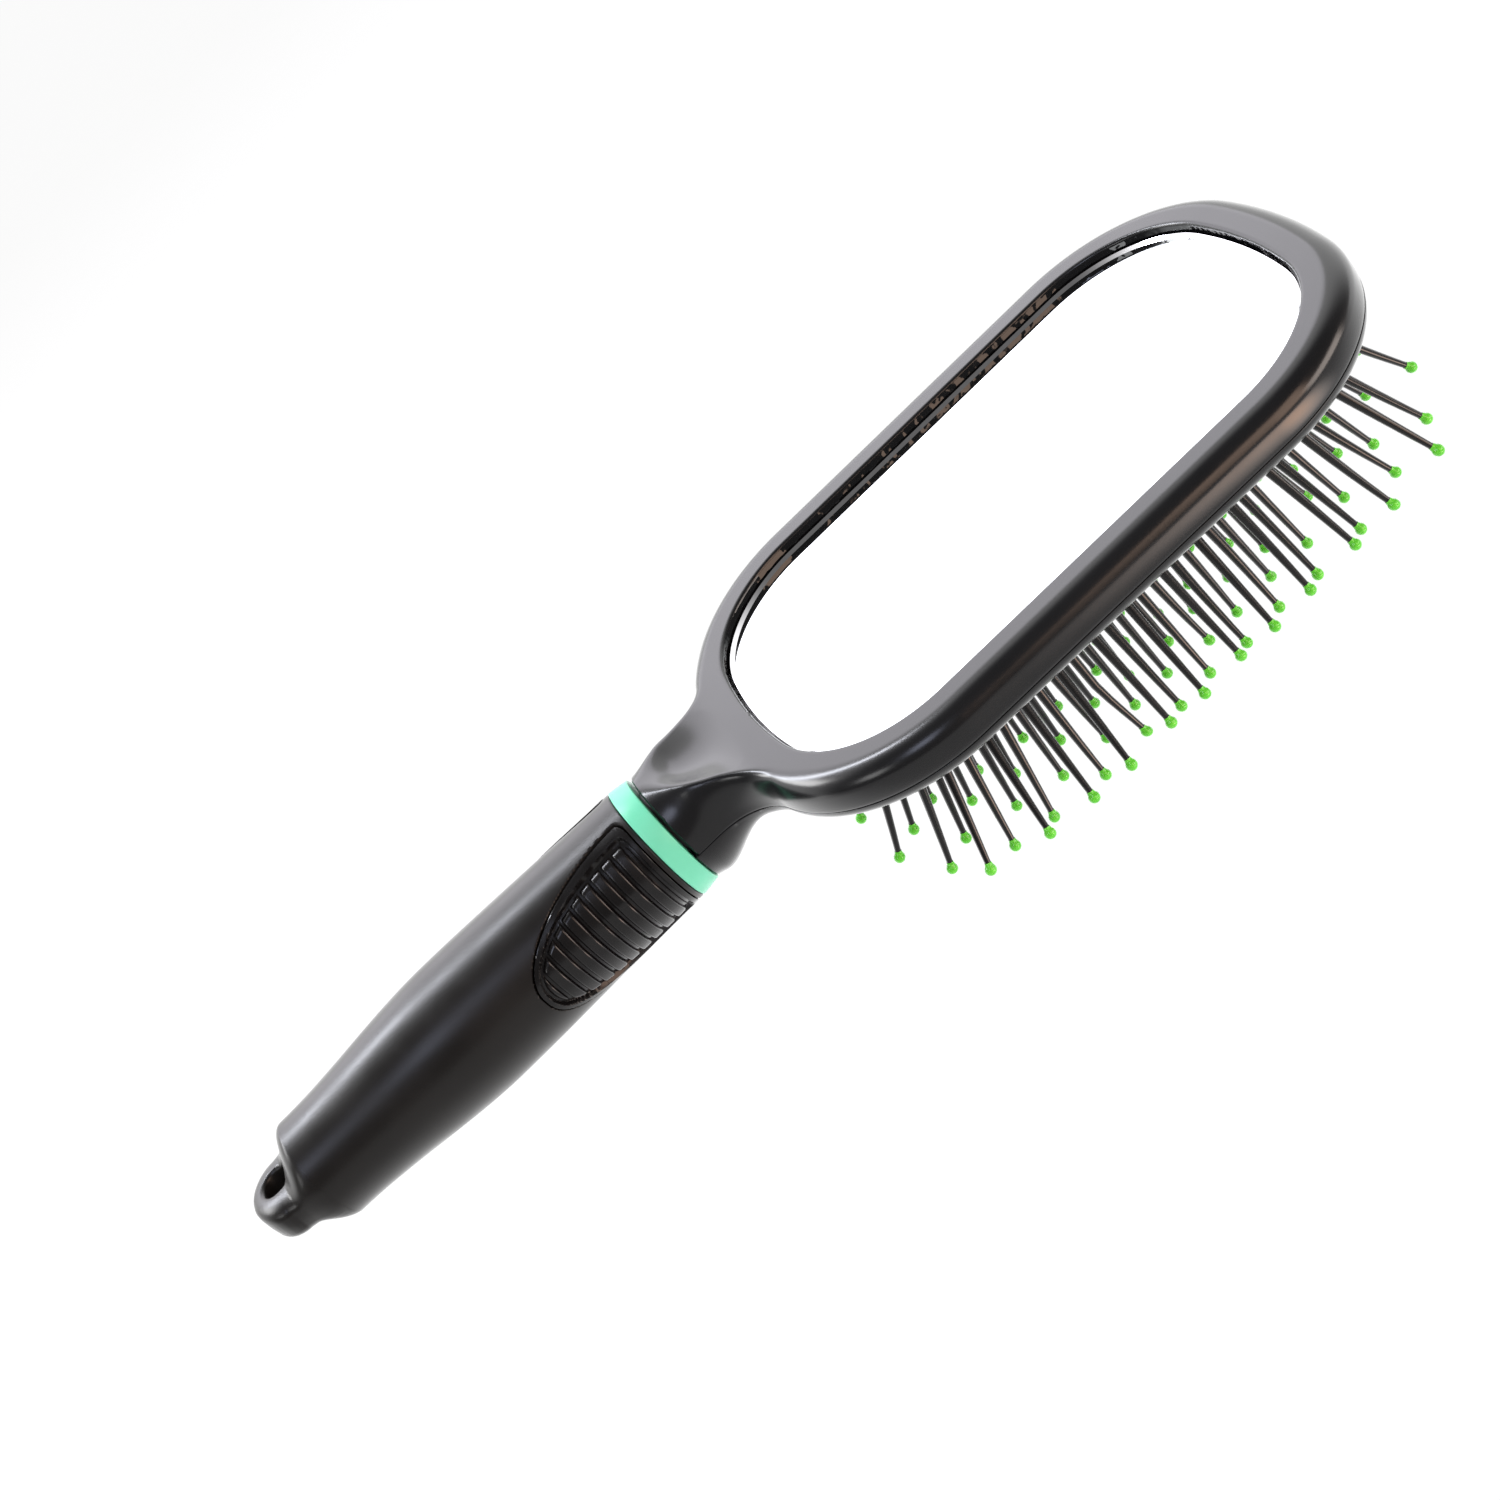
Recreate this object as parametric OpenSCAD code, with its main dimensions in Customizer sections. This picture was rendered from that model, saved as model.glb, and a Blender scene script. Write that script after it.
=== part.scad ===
// Cushion hairbrush with a mirror set into the back of its head.
// Lengths are in millimetres. The brush is drawn around the mirror opening's centre on the head's
// face, with the mirror up, the pins down and the handle towards -X, and then set down so that the
// origin is the bottom centre of the whole brush.

/* [Mirror and head] */
// Length of the mirror opening
mirror_l = 117; // [90:1:130]
// Width of the mirror opening
mirror_w = 72; // [60:1:80]
// Corner radius of the mirror opening
corner_r = 25; // [18:0.5:28]
// Radius of the opening's gently curved ends
end_arc_r = 104; // [90:1:160]
// Width of the frame around the mirror
band = 7.7; // [7:0.1:10]
// Depth of the mirror's face below the frame
recess = 2.3; // [1:0.1:2.5]
// Thickness of the mirror glass
glass_t = 1.8; // [1:0.1:2]
// Gap around the edge of the glass
glass_gap = 0.15; // [0.1:0.05:0.4]
// Thickness of the foam tape behind the glass
tape_t = 0.6; // [0.4:0.1:0.8]
// How far the tape stays inside the edge of the glass
tape_inset = 3; // [1:0.5:8]

/* [Shells] */
// Wall thickness of the two head shells
wall = 2.2; // [1.6:0.1:2.6]
// Thickness of the floor that carries the mirror
floor_t = 1.2; // [0.8:0.1:2]
// Thickness of the ring between the floor and the pin-side shell
retainer_t = 1.1; // [0.8:0.1:4]
// Rounding of the head's upper edge
upper_round = 2.4; // [1:0.1:3]
// Rounding of the head's lower edge
lower_round = 2.6; // [1:0.1:2.8]
// Thickness of the pin-side shell, from the seam down
frame_t = 3; // [2.8:0.1:3.6]

/* [Neck and collar] */
// Distance from the end of the head to the collar
neck_l = 16; // [14:0.5:30]
// Radius of the neck at the collar
neck_r = 11.4; // [10:0.1:13]
// Depth of the handle's axis below the head's face
axis_depth = 6.3; // [5.5:0.1:7]
// Radius of the hollow corner between neck and head
neck_fillet = 13; // [8:0.5:16]
// Width of the coloured collar
collar_w = 4; // [3:0.1:8]
// Radius of the collar on its neck side
collar_r = 11.7; // [11:0.1:14]
// Length of the tang beyond the collar
tang_l = 22; // [12:1:40]
// Wall thickness of the tang
tang_wall = 2; // [1.6:0.1:3]
// Gap around the tang in what slides over it, and around the end cap's spigot
tang_gap = 0.1; // [0.05:0.05:0.3]

/* [Handle] */
// Length of the handle beyond the collar, with its cap
handle_l = 96; // [80:1:120]
// Radius of the handle next to the collar
handle_r = 12.1; // [11:0.1:14]
// Radius of the handle at its thickest
belly_r = 13; // [12:0.1:15]
// Distance from the collar to the handle's thickest point
belly_at = 45.1; // [30:0.1:60]
// Radius of the handle where the end cap starts
tail_r = 10.6; // [9:0.1:12]
// Wall thickness of the handle tube
handle_wall = 3; // [2.6:0.1:3.2]
// Wall thickness of the handle tube around the tang
seat_wall = 3.6; // [3:0.1:4]
// Length of the end cap that shows
cap_l = 14; // [13:0.5:18]
// Length of the end cap's spigot inside the tube
spigot_l = 8; // [4:0.5:15]
// Radius of the hanging eye
eye_r = 3; // [2:0.1:3.5]
// Thickness of the end cap at the eye
eye_t = 9; // [6:0.1:12]
// Distance from the eye's centre to the end of the brush
eye_end = 6.5; // [6:0.1:8]

/* [Grip pads] */
// Length of each ribbed grip pad
pad_l = 30; // [20:0.5:40]
// Distance from a pad's edges to the top and bottom of the handle, seen from the side
pad_edge = 0.9; // [0.6:0.1:4]
// Distance from the collar to the pads
pad_gap = 1.4; // [1:0.1:4]
// Thickness of a grip pad under its ribs
pad_t = 1; // [0.8:0.1:1.2]
// Distance from rib to rib
rib_pitch = 2.75; // [2:0.05:4]
// Width of a rib's flat top
rib_w = 1.75; // [1:0.05:1.9]
// Height of a rib
rib_h = 0.8; // [0.4:0.1:0.9]
// Gap between a pad and its pocket
pad_fit = 0.05; // [0.05:0.01:0.2]

/* [Cushion] */
// Width of the rim from the head's tip to the cushion opening
rim_tip = 10.2; // [9.2:0.1:20]
// Width of the rim from the cushion opening to the neck's end of the head
rim_neck = 16.2; // [14:0.1:30]
// Width of the rim at the sides of the cushion opening
rim_side = 9.9; // [9:0.1:14]
// Squareness of the cushion's outline
cushion_pow = 6; // [4:0.1:7]
// Height of the cushion's crown above its flange
crown = 12; // [8:0.5:14]
// How flat the crown is before it falls off to the edge
dome_pow = 4.6; // [3:0.1:6]
// Thickness of the rubber at the crown
rubber_t = 2; // [1.5:0.1:2.5]
// How far the air cushion gives when the pins are pressed
travel = 2; // [0.5:0.1:3]
// Width of the clamped flange outside the opening
flange_w = 2.6; // [2:0.1:3]
// Thickness of the flange
flange_t = 1.4; // [1:0.1:1.6]
// Gap between the dome and the edge of its opening
dome_gap = 0.3; // [0.2:0.05:0.6]
// Radius of the air hole in the cushion
vent_r = 1.1; // [0.6:0.1:1.5]
// Distance from the middle row's first pin to the air hole, which lies before the second
vent_step = 4.5; // [4.2:0.1:5]

/* [Pins] */
// Distance between pins along a row
pitch_x = 7.7; // [7:0.1:10]
// Distance from the outer rows to the side of the opening
row_inset = 3.8; // [3:0.1:8]
// Least distance from a pin to the edge of the opening
pin_margin = 1.7; // [1.7:0.1:5]
// Length of a pin from the rubber to the middle of its ball
pin_l = 24.3; // [16:0.1:26]
// Radius of a pin at the rubber
pin_root_r = 1.1; // [0.9:0.05:1.3]
// Radius of a pin at its end
pin_end_r = 0.65; // [0.5:0.05:0.8]
// How far a pin's root stands out inside the cushion
root_out = 0.4; // [0.2:0.1:0.6]
// Gap around a pin in its hole in the rubber
root_gap = 0.1; // [0.05:0.05:0.2]
// Outward lean of the pins at the ends of the cushion, in degrees
fan_x = 28; // [0:1:32]
// Outward lean of the pins at the sides of the cushion, in degrees
fan_y = 24; // [0:1:32]
// How late the lean sets in from the middle to the edge
fan_pow = 2.2; // [1:0.1:4]
// Radius of the ball on a pin
ball_r = 1.15; // [1:0.05:1.5]
// Length of the drop above the ball
drop_l = 2.4; // [1.5:0.1:3]
// Thickness of the drop's edge on the pin
drop_edge = 0.08; // [0.05:0.01:0.2]

/* [Hidden] */
ROWS = 9;

// Driving positions, along X from the mirror's centre and up from the head's face
pocket_z = -(recess + glass_t + tape_t);
floor_z = pocket_z - floor_t;
seam_z = floor_z - retainer_t;
head_t = frame_t - seam_z;
half_l = mirror_l / 2;
half_w = mirror_w / 2;
head_end = half_l + band;
cushion_l = 2 * head_end - rim_tip - rim_neck;
cushion_w = 2 * (half_w + band - rim_side);
cushion_x = (rim_neck - rim_tip) / 2;
collar_x = -(head_end + neck_l);
handle_x = collar_x - collar_w;
tang_r = handle_r - seat_wall - tang_gap;
tail_x = handle_x - handle_l;
flange_z = seam_z - flange_t;
ball_z = flange_z - crown - pin_l;
base_z = ball_z - ball_r;

// Where the drawing is set down
set_down = [-(head_end + tail_x) / 2, 0, -base_z];

// Finish of the curves
ARC = 10;
SECTION = 40;
ROUND = 64;
LAYER = 0.01;
CUT = 1;

// ---- the head's outline -----------------------------------------------------------------------
// The opening's end arc and corner arc share a tangent at this angle from the long axis
corner_a = asin((half_w - corner_r) / (end_arc_r - corner_r));
end_cx = half_l - end_arc_r;
corner_cx = end_cx + (end_arc_r - corner_r) * cos(corner_a);
corner_cy = half_w - corner_r;

function arc(cx, cy, r, a0, a1, n) =
    [for (i = [0:n]) let (a = a0 + (a1 - a0) * i / n) [cx + r * cos(a), cy + r * sin(a)]];
function reversed(p) = [for (i = [len(p) - 1:-1:0]) p[i]];
function quarter(g) = concat(
    arc(end_cx, 0, end_arc_r + g, 0, corner_a, 3),
    [for (i = [1:ARC]) let (a = corner_a + (90 - corner_a) * i / ARC)
        [corner_cx + (corner_r + g) * cos(a), corner_cy + (corner_r + g) * sin(a)]]);
function mirrored(p, sx, sy) = [for (q = p) [sx * q[0], sy * q[1]]];
// The outline that lies g outside the mirror opening, counter-clockwise
function head_outline(g) = let (q = quarter(g), n = len(q)) concat(
    q,
    mirrored(reversed(q), -1, 1),
    [for (i = [1:n - 1]) [-q[i][0], -q[i][1]]],
    [for (i = [n - 1:-1:1]) [q[i][0], -q[i][1]]]);

// A slab of the head's outline with rounded upper and lower edges
module head_slab(g, top, bottom, r_top, r_bottom) {
    hull() {
        for (a = [0, 30, 60, 90]) {
            translate([0, 0, top - LAYER - r_top * (1 - cos(a))])
                linear_extrude(LAYER) polygon(head_outline(g - r_top * (1 - sin(a))));
            translate([0, 0, bottom + r_bottom * (1 - cos(a))])
                linear_extrude(LAYER) polygon(head_outline(g - r_bottom * (1 - sin(a))));
        }
    }
}

// ---- the neck -----------------------------------------------------------------------------------
// Its sides leave the collar straight, bend out through a hollow fillet and join the head's corner
head_r = corner_r + band;
fillet_cy = neck_r + neck_fillet;
fillet_cx = -corner_cx - sqrt(pow(head_r + neck_fillet, 2) - pow(fillet_cy - corner_cy, 2));
join_x = -corner_cx + (fillet_cx + corner_cx) * head_r / (head_r + neck_fillet);
// The neck runs on into the head, so that the two blend
RUN_IN = 7;
neck_end = join_x + RUN_IN;
function neck_half_w(x) =
    x < fillet_cx ? neck_r :
    x < join_x ? fillet_cy - sqrt(pow(neck_fillet, 2) - pow(x - fillet_cx, 2)) :
    corner_cy + sqrt(pow(head_r, 2) - pow(x + corner_cx, 2));
function ease(t) = let (c = min(1, max(0, t))) c * c * (3 - 2 * c);
// 0 at the collar and 1 where the neck has become as flat as the head, a little before its end on
// the mirror side, and a little before the join on the pin side
function flatness(x, flat_at) = ease((x - collar_x) / (flat_at - collar_x));
EARLY = 2;
flat_top_x = neck_end - EARLY;
flat_bottom_x = join_x - EARLY;
function neck_top(x) = (1 - flatness(x, flat_top_x)) * (neck_r - axis_depth);
function neck_bottom(x) = let (f = flatness(x, flat_bottom_x))
    -(1 - f) * (neck_r + axis_depth) - f * head_t;
// The section is an ellipse at the collar and nearly a slab at the head
ELLIPSE_POW = 2;
SLAB_POW = 6;
function neck_pow(x) = ELLIPSE_POW + (SLAB_POW - ELLIPSE_POW) * flatness(x, flat_bottom_x);
// One cross section of the neck, thinner by t all round
function neck_section(x, t) = let (
    w = neck_half_w(x) - t, top = neck_top(x) - t, bottom = neck_bottom(x) + t,
    mid = (top + bottom) / 2, h = (top - bottom) / 2, e = 2 / neck_pow(x))
    [for (i = [0:SECTION - 1]) let (a = 360 * i / SECTION, c = cos(a), s = sin(a))
        [sign(c) * w * pow(abs(c), e), mid + sign(s) * h * pow(abs(s), e)]];
module neck_slice(x, t) {
    translate([x, 0, 0]) rotate([90, 0, 90]) linear_extrude(LAYER) polygon(neck_section(x, t));
}
NECK_STEPS = 12;
module neck_body(x0, x1, t) {
    for (i = [0:NECK_STEPS - 1]) {
        hull() {
            neck_slice(x0 + (x1 - x0) * i / NECK_STEPS, t);
            neck_slice(x0 + (x1 - x0) * (i + 1) / NECK_STEPS, t);
        }
    }
}
module head_and_neck() {
    head_slab(band, 0, -head_t, upper_round, lower_round);
    neck_body(collar_x, neck_end, 0);
}
// The room inside the neck, closed towards the collar by a bulkhead as thick as the walls
module neck_room() {
    neck_body(collar_x + wall, join_x, wall);
}
// Blocks to cut with, which reach past the brush wherever no limit is given
FAR = 200;
module all_above(z) {
    translate([-FAR, -FAR, z]) cube([2 * FAR, 2 * FAR, FAR]);
}
module all_below(z, x_max = FAR) {
    translate([-FAR, -FAR, z - FAR]) cube([FAR + x_max, 2 * FAR, FAR]);
}
// The tube that carries collar and handle: each shell has half of it
module tang() {
    translate([collar_x + wall, 0, -axis_depth]) rotate([0, -90, 0]) difference() {
        cylinder(r = tang_r, h = collar_w + tang_l + wall, $fn = ROUND);
        translate([0, 0, wall])
            cylinder(r = tang_r - tang_wall, h = collar_w + tang_l + wall, $fn = ROUND);
    }
}

module front_shell() {
    color([0.27, 0.27, 0.28]) difference() {
        intersection() {
            union() {
                head_and_neck();
                tang();
            }
            all_above(seam_z);
        }
        translate([0, 0, pocket_z]) linear_extrude(head_t) polygon(head_outline(0));
        translate([0, 0, seam_z - CUT]) linear_extrude(floor_z - seam_z + CUT)
            polygon(head_outline(band - wall));
        intersection() {
            neck_room();
            all_below(-recess, -head_end);
        }
    }
}

module back_shell() {
    color([0.24, 0.24, 0.25]) difference() {
        intersection() {
            union() {
                head_and_neck();
                tang();
            }
            all_below(seam_z);
        }
        translate([0, 0, -head_t - CUT]) linear_extrude(head_t) polygon(cushion_outline(0));
        translate([0, 0, flange_z]) linear_extrude(head_t)
            polygon(cushion_outline(flange_w + dome_gap));
        intersection() {
            neck_room();
            all_below(0, -head_end);
        }
    }
}

// ---- the mirror ---------------------------------------------------------------------------------
module mirror_glass() {
    color([0.92, 0.94, 0.95]) translate([0, 0, pocket_z + tape_t])
        linear_extrude(glass_t) polygon(head_outline(-glass_gap));
}

module mirror_tape() {
    color([0.85, 0.85, 0.82]) translate([0, 0, pocket_z])
        linear_extrude(tape_t) polygon(head_outline(-glass_gap - tape_inset));
}

// ---- the cushion --------------------------------------------------------------------------------
cush_a = cushion_l / 2;
cush_b = cushion_w / 2;
function oval(a, b, n) = [for (i = [0:n - 1]) let (t = 360 * i / n, c = cos(t), s = sin(t))
    [cushion_x + sign(c) * a * pow(abs(c), 2 / cushion_pow),
     sign(s) * b * pow(abs(s), 2 / cushion_pow)]];
OVAL = 60;
// The opening's outline, grown by g
function cushion_outline(g) = oval(cush_a + g, cush_b + g, OVAL);
// 0 in the middle of an oval of half sizes a and b, and 1 on its edge
function reach(x, y, a, b) = pow(abs(x) / a, cushion_pow) + pow(abs(y) / b, cushion_pow);
dome_a = cush_a - dome_gap;
dome_b = cush_b - dome_gap;
room_a = dome_a - rubber_t;
room_b = dome_b - rubber_t;
// How far a dome h high has risen at x, y from the cushion's centre
function rise(x, y, a, b, h) =
    h * (1 - pow(min(1, reach(x, y, a, b)), dome_pow / cushion_pow));
function outer_z(x, y) = flange_z - rise(x, y, dome_a, dome_b, crown);
room_h = crown + flange_t - rubber_t;
function inner_z(x, y) = seam_z - rise(x, y, room_a, room_b, room_h);

// Rings of a dome from its edge to the last one around its middle, and the middle itself
RINGS = 7;
RING_POW = 0.6;
function ring_share(i) = pow(1 - i / RINGS, RING_POW);
function dome_ring(a, b, f, z0, h) = [for (p = oval(a * f, b * f, OVAL))
    [p[0], p[1], z0 - h * (1 - pow(f, dome_pow))]];
module dome(a, b, z0, h, top) {
    rings = [for (i = [0:RINGS - 1]) dome_ring(a, b, ring_share(i), z0, h)];
    rim = [for (p = oval(a, b, OVAL)) [p[0], p[1], top]];
    points = concat(rim, [for (r = rings) for (p = r) p], [[cushion_x, 0, z0 - h]]);
    apex = len(points) - 1;
    polyhedron(points, concat(
        [[for (j = [0:OVAL - 1]) OVAL - 1 - j]],
        [for (i = [0:RINGS - 1]) for (j = [0:OVAL - 1]) let (
            p = i * OVAL, q = (i + 1) * OVAL, k = (j + 1) % OVAL)
            each [[p + j, p + k, q + j], [p + k, q + k, q + j]]],
        [for (j = [0:OVAL - 1]) [RINGS * OVAL + j, RINGS * OVAL + (j + 1) % OVAL, apex]]));
}

module cushion() {
    color([0.16, 0.16, 0.17]) difference() {
        union() {
            dome(dome_a, dome_b, flange_z, crown, seam_z - flange_t / 2);
            translate([0, 0, flange_z]) linear_extrude(flange_t)
                polygon(cushion_outline(flange_w));
        }
        dome(room_a, room_b, seam_z, room_h, seam_z + CUT);
        for (k = [1:ROWS]) {
            for (x = row_x(k)) {
                at_pin(x, row_y(k)) pin_hole(root_l(x, row_y(k)));
            }
        }
        translate([cushion_x + row_x((ROWS + 1) / 2)[0] + vent_step, 0, flange_z - crown])
            cylinder(r = vent_r, h = head_t + crown, $fn = 16);
    }
}

// The ring that holds the flange down on the pin-side shell's rebate
module cushion_retainer() {
    color([0.3, 0.3, 0.31]) translate([0, 0, seam_z]) linear_extrude(floor_z - seam_z)
        difference() {
            polygon(cushion_outline(flange_w));
            polygon(cushion_outline(-rubber_t));
        }
}

// ---- the pins -----------------------------------------------------------------------------------
// Every other row is shifted by half a pitch. Each row holds the pins that fit in the opening.
field_a = cush_a - pin_margin;
field_b = cush_b - pin_margin;
pitch_y = (cushion_w - 2 * row_inset) / (ROWS - 1);
function row_y(k) = (k - (ROWS + 1) / 2) * pitch_y;
function row_shift(k) = k % 2 == 1 ? pitch_x / 2 : 0;
LAST = ceil(field_a / pitch_x);
function row_x(k) = [for (i = [-LAST:LAST]) let (x = i * pitch_x + row_shift(k))
    if (reach(x, row_y(k), field_a, field_b) <= 1) x];
function lean(v, half, fan) = sign(v) * tan(fan) * pow(abs(v) / half, fan_pow);

// Puts what is drawn along -Z from the rubber's outer face at x, y along the pin that stands there
module at_pin(x, y) {
    turn_y = atan(-lean(x, cush_a, fan_x));
    turn_x = atan(lean(y, cush_b, fan_y) * cos(turn_y));
    translate([cushion_x + x, y, outer_z(x, y)]) rotate([turn_x, turn_y, 0]) children();
}
// How far a pin's root reaches back through the rubber. Next to the rim it ends in the rubber, so
// that its leaning end stays clear of the retainer above when the cushion gives.
root_limit = seam_z - travel - root_gap - pin_root_r * sin(max(fan_x, fan_y));
function root_l(x, y) = min(inner_z(x, y) + root_out, root_limit) - outer_z(x, y);
// A hole for a root l long, six-sided and drawn as a hull, clear of the pin all round
HOLE_SIDES = 6;
module pin_hole(l) {
    hull() translate([0, 0, -2 * pin_root_r])
        cylinder(r = (pin_root_r + root_gap) / cos(180 / HOLE_SIDES),
                 h = l + 2 * pin_root_r + root_gap, $fn = HOLE_SIDES);
}

module pin(x, y) {
    rotate_extrude($fn = 24) polygon([
        [0, -pin_l], [pin_end_r, -pin_l], [pin_end_r, drop_l - pin_l],
        [pin_root_r, 0], [pin_root_r, root_l(x, y)], [0, root_l(x, y)]]);
}

// A drop of lacquer around the pin's end, round below and drawn out above to a waist and an edge
WAIST_UP = 0.5;
WAIST_OUT = 0.55;
module tip() {
    rotate_extrude($fn = 24) polygon(concat(
        [[0, -pin_l], [0, -pin_l - ball_r]],
        [for (a = [-70:20:10]) [ball_r * cos(a), ball_r * sin(a) - pin_l]],
        [[pin_end_r + (ball_r - pin_end_r) * WAIST_OUT, drop_l * WAIST_UP - pin_l],
         [pin_end_r + drop_edge, drop_l - pin_l], [pin_end_r, drop_l - pin_l],
         [pin_end_r, -pin_l]]));
}

module pin_row(k) {
    color([0.09, 0.09, 0.1]) for (x = row_x(k)) at_pin(x, row_y(k)) pin(x, row_y(k));
}

module tip_row(k) {
    color([0.36, 0.78, 0.23]) for (x = row_x(k)) at_pin(x, row_y(k)) tip();
}

// ---- the collar and the handle --------------------------------------------------------------------
// Turned parts are drawn along +Z from the collar and laid along -X
module on_axis(x) {
    translate([x, 0, -axis_depth]) rotate([0, -90, 0]) children();
}
module collar_ring() {
    color([0.48, 0.89, 0.72]) on_axis(collar_x) rotate_extrude($fn = ROUND) polygon([
        [tang_r + tang_gap, 0], [collar_r, 0], [handle_r, collar_w], [tang_r + tang_gap, collar_w]]);
}

// The handle's radius at a distance s from the collar: it swells to its belly and runs out to the tail
tube_l = handle_l - cap_l;
function handle_radius(s) = s < belly_at
    ? handle_r + (belly_r - handle_r) * ease(s / belly_at)
    : belly_r + (tail_r - belly_r) * ease((s - belly_at) / (tube_l - belly_at));
STEP = 3;
function stations(s0, s1) = let (n = ceil((s1 - s0) / STEP)) [for (i = [0:n]) s0 + (s1 - s0) * i / n];
function skin(s0, s1, t) = [for (s = stations(s0, s1)) [handle_radius(s) - t, s]];

// A pad's outline from the side: straight at the collar and rounded at its far end
PAD_POW = 2 / 2.4;
pad_h = handle_r - pad_edge;
module pad_outline(g) {
    polygon([for (a = [-90:10:90])
        [-(pad_gap - g) - (pad_l + 2 * g) * pow(cos(a), PAD_POW),
         sign(a) * (pad_h + g) * pow(abs(sin(a)), PAD_POW)]]);
}
module pad_prism(side, g) {
    translate([handle_x, 0, -axis_depth]) rotate([90, 0, 0])
        translate([0, 0, side > 0 ? -2 * belly_r : 0]) linear_extrude(2 * belly_r) pad_outline(g);
}
// The layer of the handle that the pads take up, from a depth t out to e beyond its skin, drawn
// a little past their far end
layer_l = pad_gap + pad_l + 2 * CUT;
module pad_layer(t, e) {
    on_axis(handle_x) rotate_extrude($fn = ROUND) polygon(concat(
        skin(0, layer_l, t), reversed(skin(0, layer_l, -e))));
}
// The same layer with its ribs, whose flanks take up half of each gap between them
module ribbed_layer(t) {
    first = pad_gap + rib_pitch / 2;
    count = floor((pad_l - rib_pitch) / rib_pitch);
    side_w = (rib_pitch - rib_w) / 4;
    rib_side = reversed([for (i = [0:count]) let (s = first + i * rib_pitch, r = handle_radius(s))
        each [[r - rib_h, s - rib_w / 2 - side_w], [r, s - rib_w / 2],
              [r, s + rib_w / 2], [r - rib_h, s + rib_w / 2 + side_w]]]);
    on_axis(handle_x) rotate_extrude($fn = ROUND) polygon(concat(
        skin(0, layer_l, t),
        [[handle_radius(layer_l) - rib_h, layer_l]], rib_side, [[handle_radius(0) - rib_h, 0]]));
}
pad_depth = rib_h + pad_t;

module grip_pad(side) {
    color([0.07, 0.07, 0.08]) intersection() {
        ribbed_layer(pad_depth);
        pad_prism(side, 0);
    }
}
module grip_pad_left() { grip_pad(1); }
module grip_pad_right() { grip_pad(-1); }

module handle_tube() {
    color([0.22, 0.22, 0.23]) difference() {
        on_axis(handle_x) rotate_extrude($fn = ROUND) polygon(concat(
            [for (s = stations(0, tube_l)) [tube_bore(s), s]], reversed(skin(0, tube_l, 0))));
        for (side = [-1, 1]) {
            intersection() {
                pad_layer(pad_depth + pad_fit, CUT);
                pad_prism(side, pad_fit);
            }
        }
    }
}
// The tube's inner radius: a seat around the tang, then as wide as the wall allows
function tube_bore(s) = s < tang_l ? tang_r + tang_gap : handle_radius(s) - handle_wall;

// The cap plugs the tube and ends in a flattened eye to hang the brush by. Its first stretch is
// round, like the tube.
CAP_ROUND_L = 3;
module end_cap() {
    eye_x = tail_x + eye_end;
    color([0.22, 0.22, 0.23]) difference() {
        on_axis(handle_x) rotate_extrude($fn = ROUND) polygon(concat(
            [[0, tube_l - spigot_l], [tail_r - handle_wall - tang_gap, tube_l - spigot_l],
             [tail_r - handle_wall - tang_gap, tube_l], [tail_r, tube_l]],
            [for (a = [10:10:80]) [tail_r * cos(a), tube_l + cap_l * sin(a)]],
            [[0, handle_l]]));
        for (side = [-1, 1]) {
            translate([tail_x - CUT, -2 * tail_r, -axis_depth + side * eye_t / 2])
                mirror([0, 0, side > 0 ? 0 : 1])
                    cube([cap_l + CUT - CAP_ROUND_L, 4 * tail_r, tail_r]);
        }
        translate([eye_x, 0, -axis_depth - tail_r]) cylinder(r = eye_r, h = 2 * tail_r, $fn = ROUND);
    }
}

translate(set_down) {
    front_shell();
    back_shell();
    mirror_glass();
    mirror_tape();
    cushion_retainer();
    collar_ring();
    handle_tube();
    grip_pad_left();
    grip_pad_right();
    end_cap();
    cushion();
    for (k = [1:ROWS]) {
        pin_row(k);
        tip_row(k);
    }
}
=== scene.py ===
import bpy
import numpy as np
from mathutils import Matrix, Quaternion, Vector


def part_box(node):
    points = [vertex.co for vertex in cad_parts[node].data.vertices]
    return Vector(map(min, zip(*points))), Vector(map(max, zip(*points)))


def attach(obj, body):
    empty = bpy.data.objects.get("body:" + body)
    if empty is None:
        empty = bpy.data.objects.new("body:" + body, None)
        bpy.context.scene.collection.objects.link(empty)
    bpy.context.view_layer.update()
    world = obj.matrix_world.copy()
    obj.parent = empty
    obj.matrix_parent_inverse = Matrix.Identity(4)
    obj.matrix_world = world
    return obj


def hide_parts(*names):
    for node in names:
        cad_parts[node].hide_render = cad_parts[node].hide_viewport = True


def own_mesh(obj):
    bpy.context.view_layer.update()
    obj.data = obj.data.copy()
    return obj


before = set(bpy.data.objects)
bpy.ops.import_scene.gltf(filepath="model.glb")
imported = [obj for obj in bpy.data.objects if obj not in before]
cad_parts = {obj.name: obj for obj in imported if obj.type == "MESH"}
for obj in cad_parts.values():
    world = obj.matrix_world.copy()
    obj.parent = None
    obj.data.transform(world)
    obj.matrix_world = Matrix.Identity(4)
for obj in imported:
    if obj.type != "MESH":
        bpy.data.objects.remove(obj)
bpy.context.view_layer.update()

# ---- Viewpoint ------------------------------------------------------------------------------------
# A camera with a slightly long lens looks 31 degrees down on the brush from its side. It is rolled so
# that the brush lies along the frame's diagonal.
CAMERA_PLACE = (0.012425, -0.338587, 0.243558)
CAMERA_RIGHT = (0.71998, -0.32987, -0.61059)
CAMERA_UP = (0.69260, 0.39734, 0.60202)
CAMERA_LENS = 54.435

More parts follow.
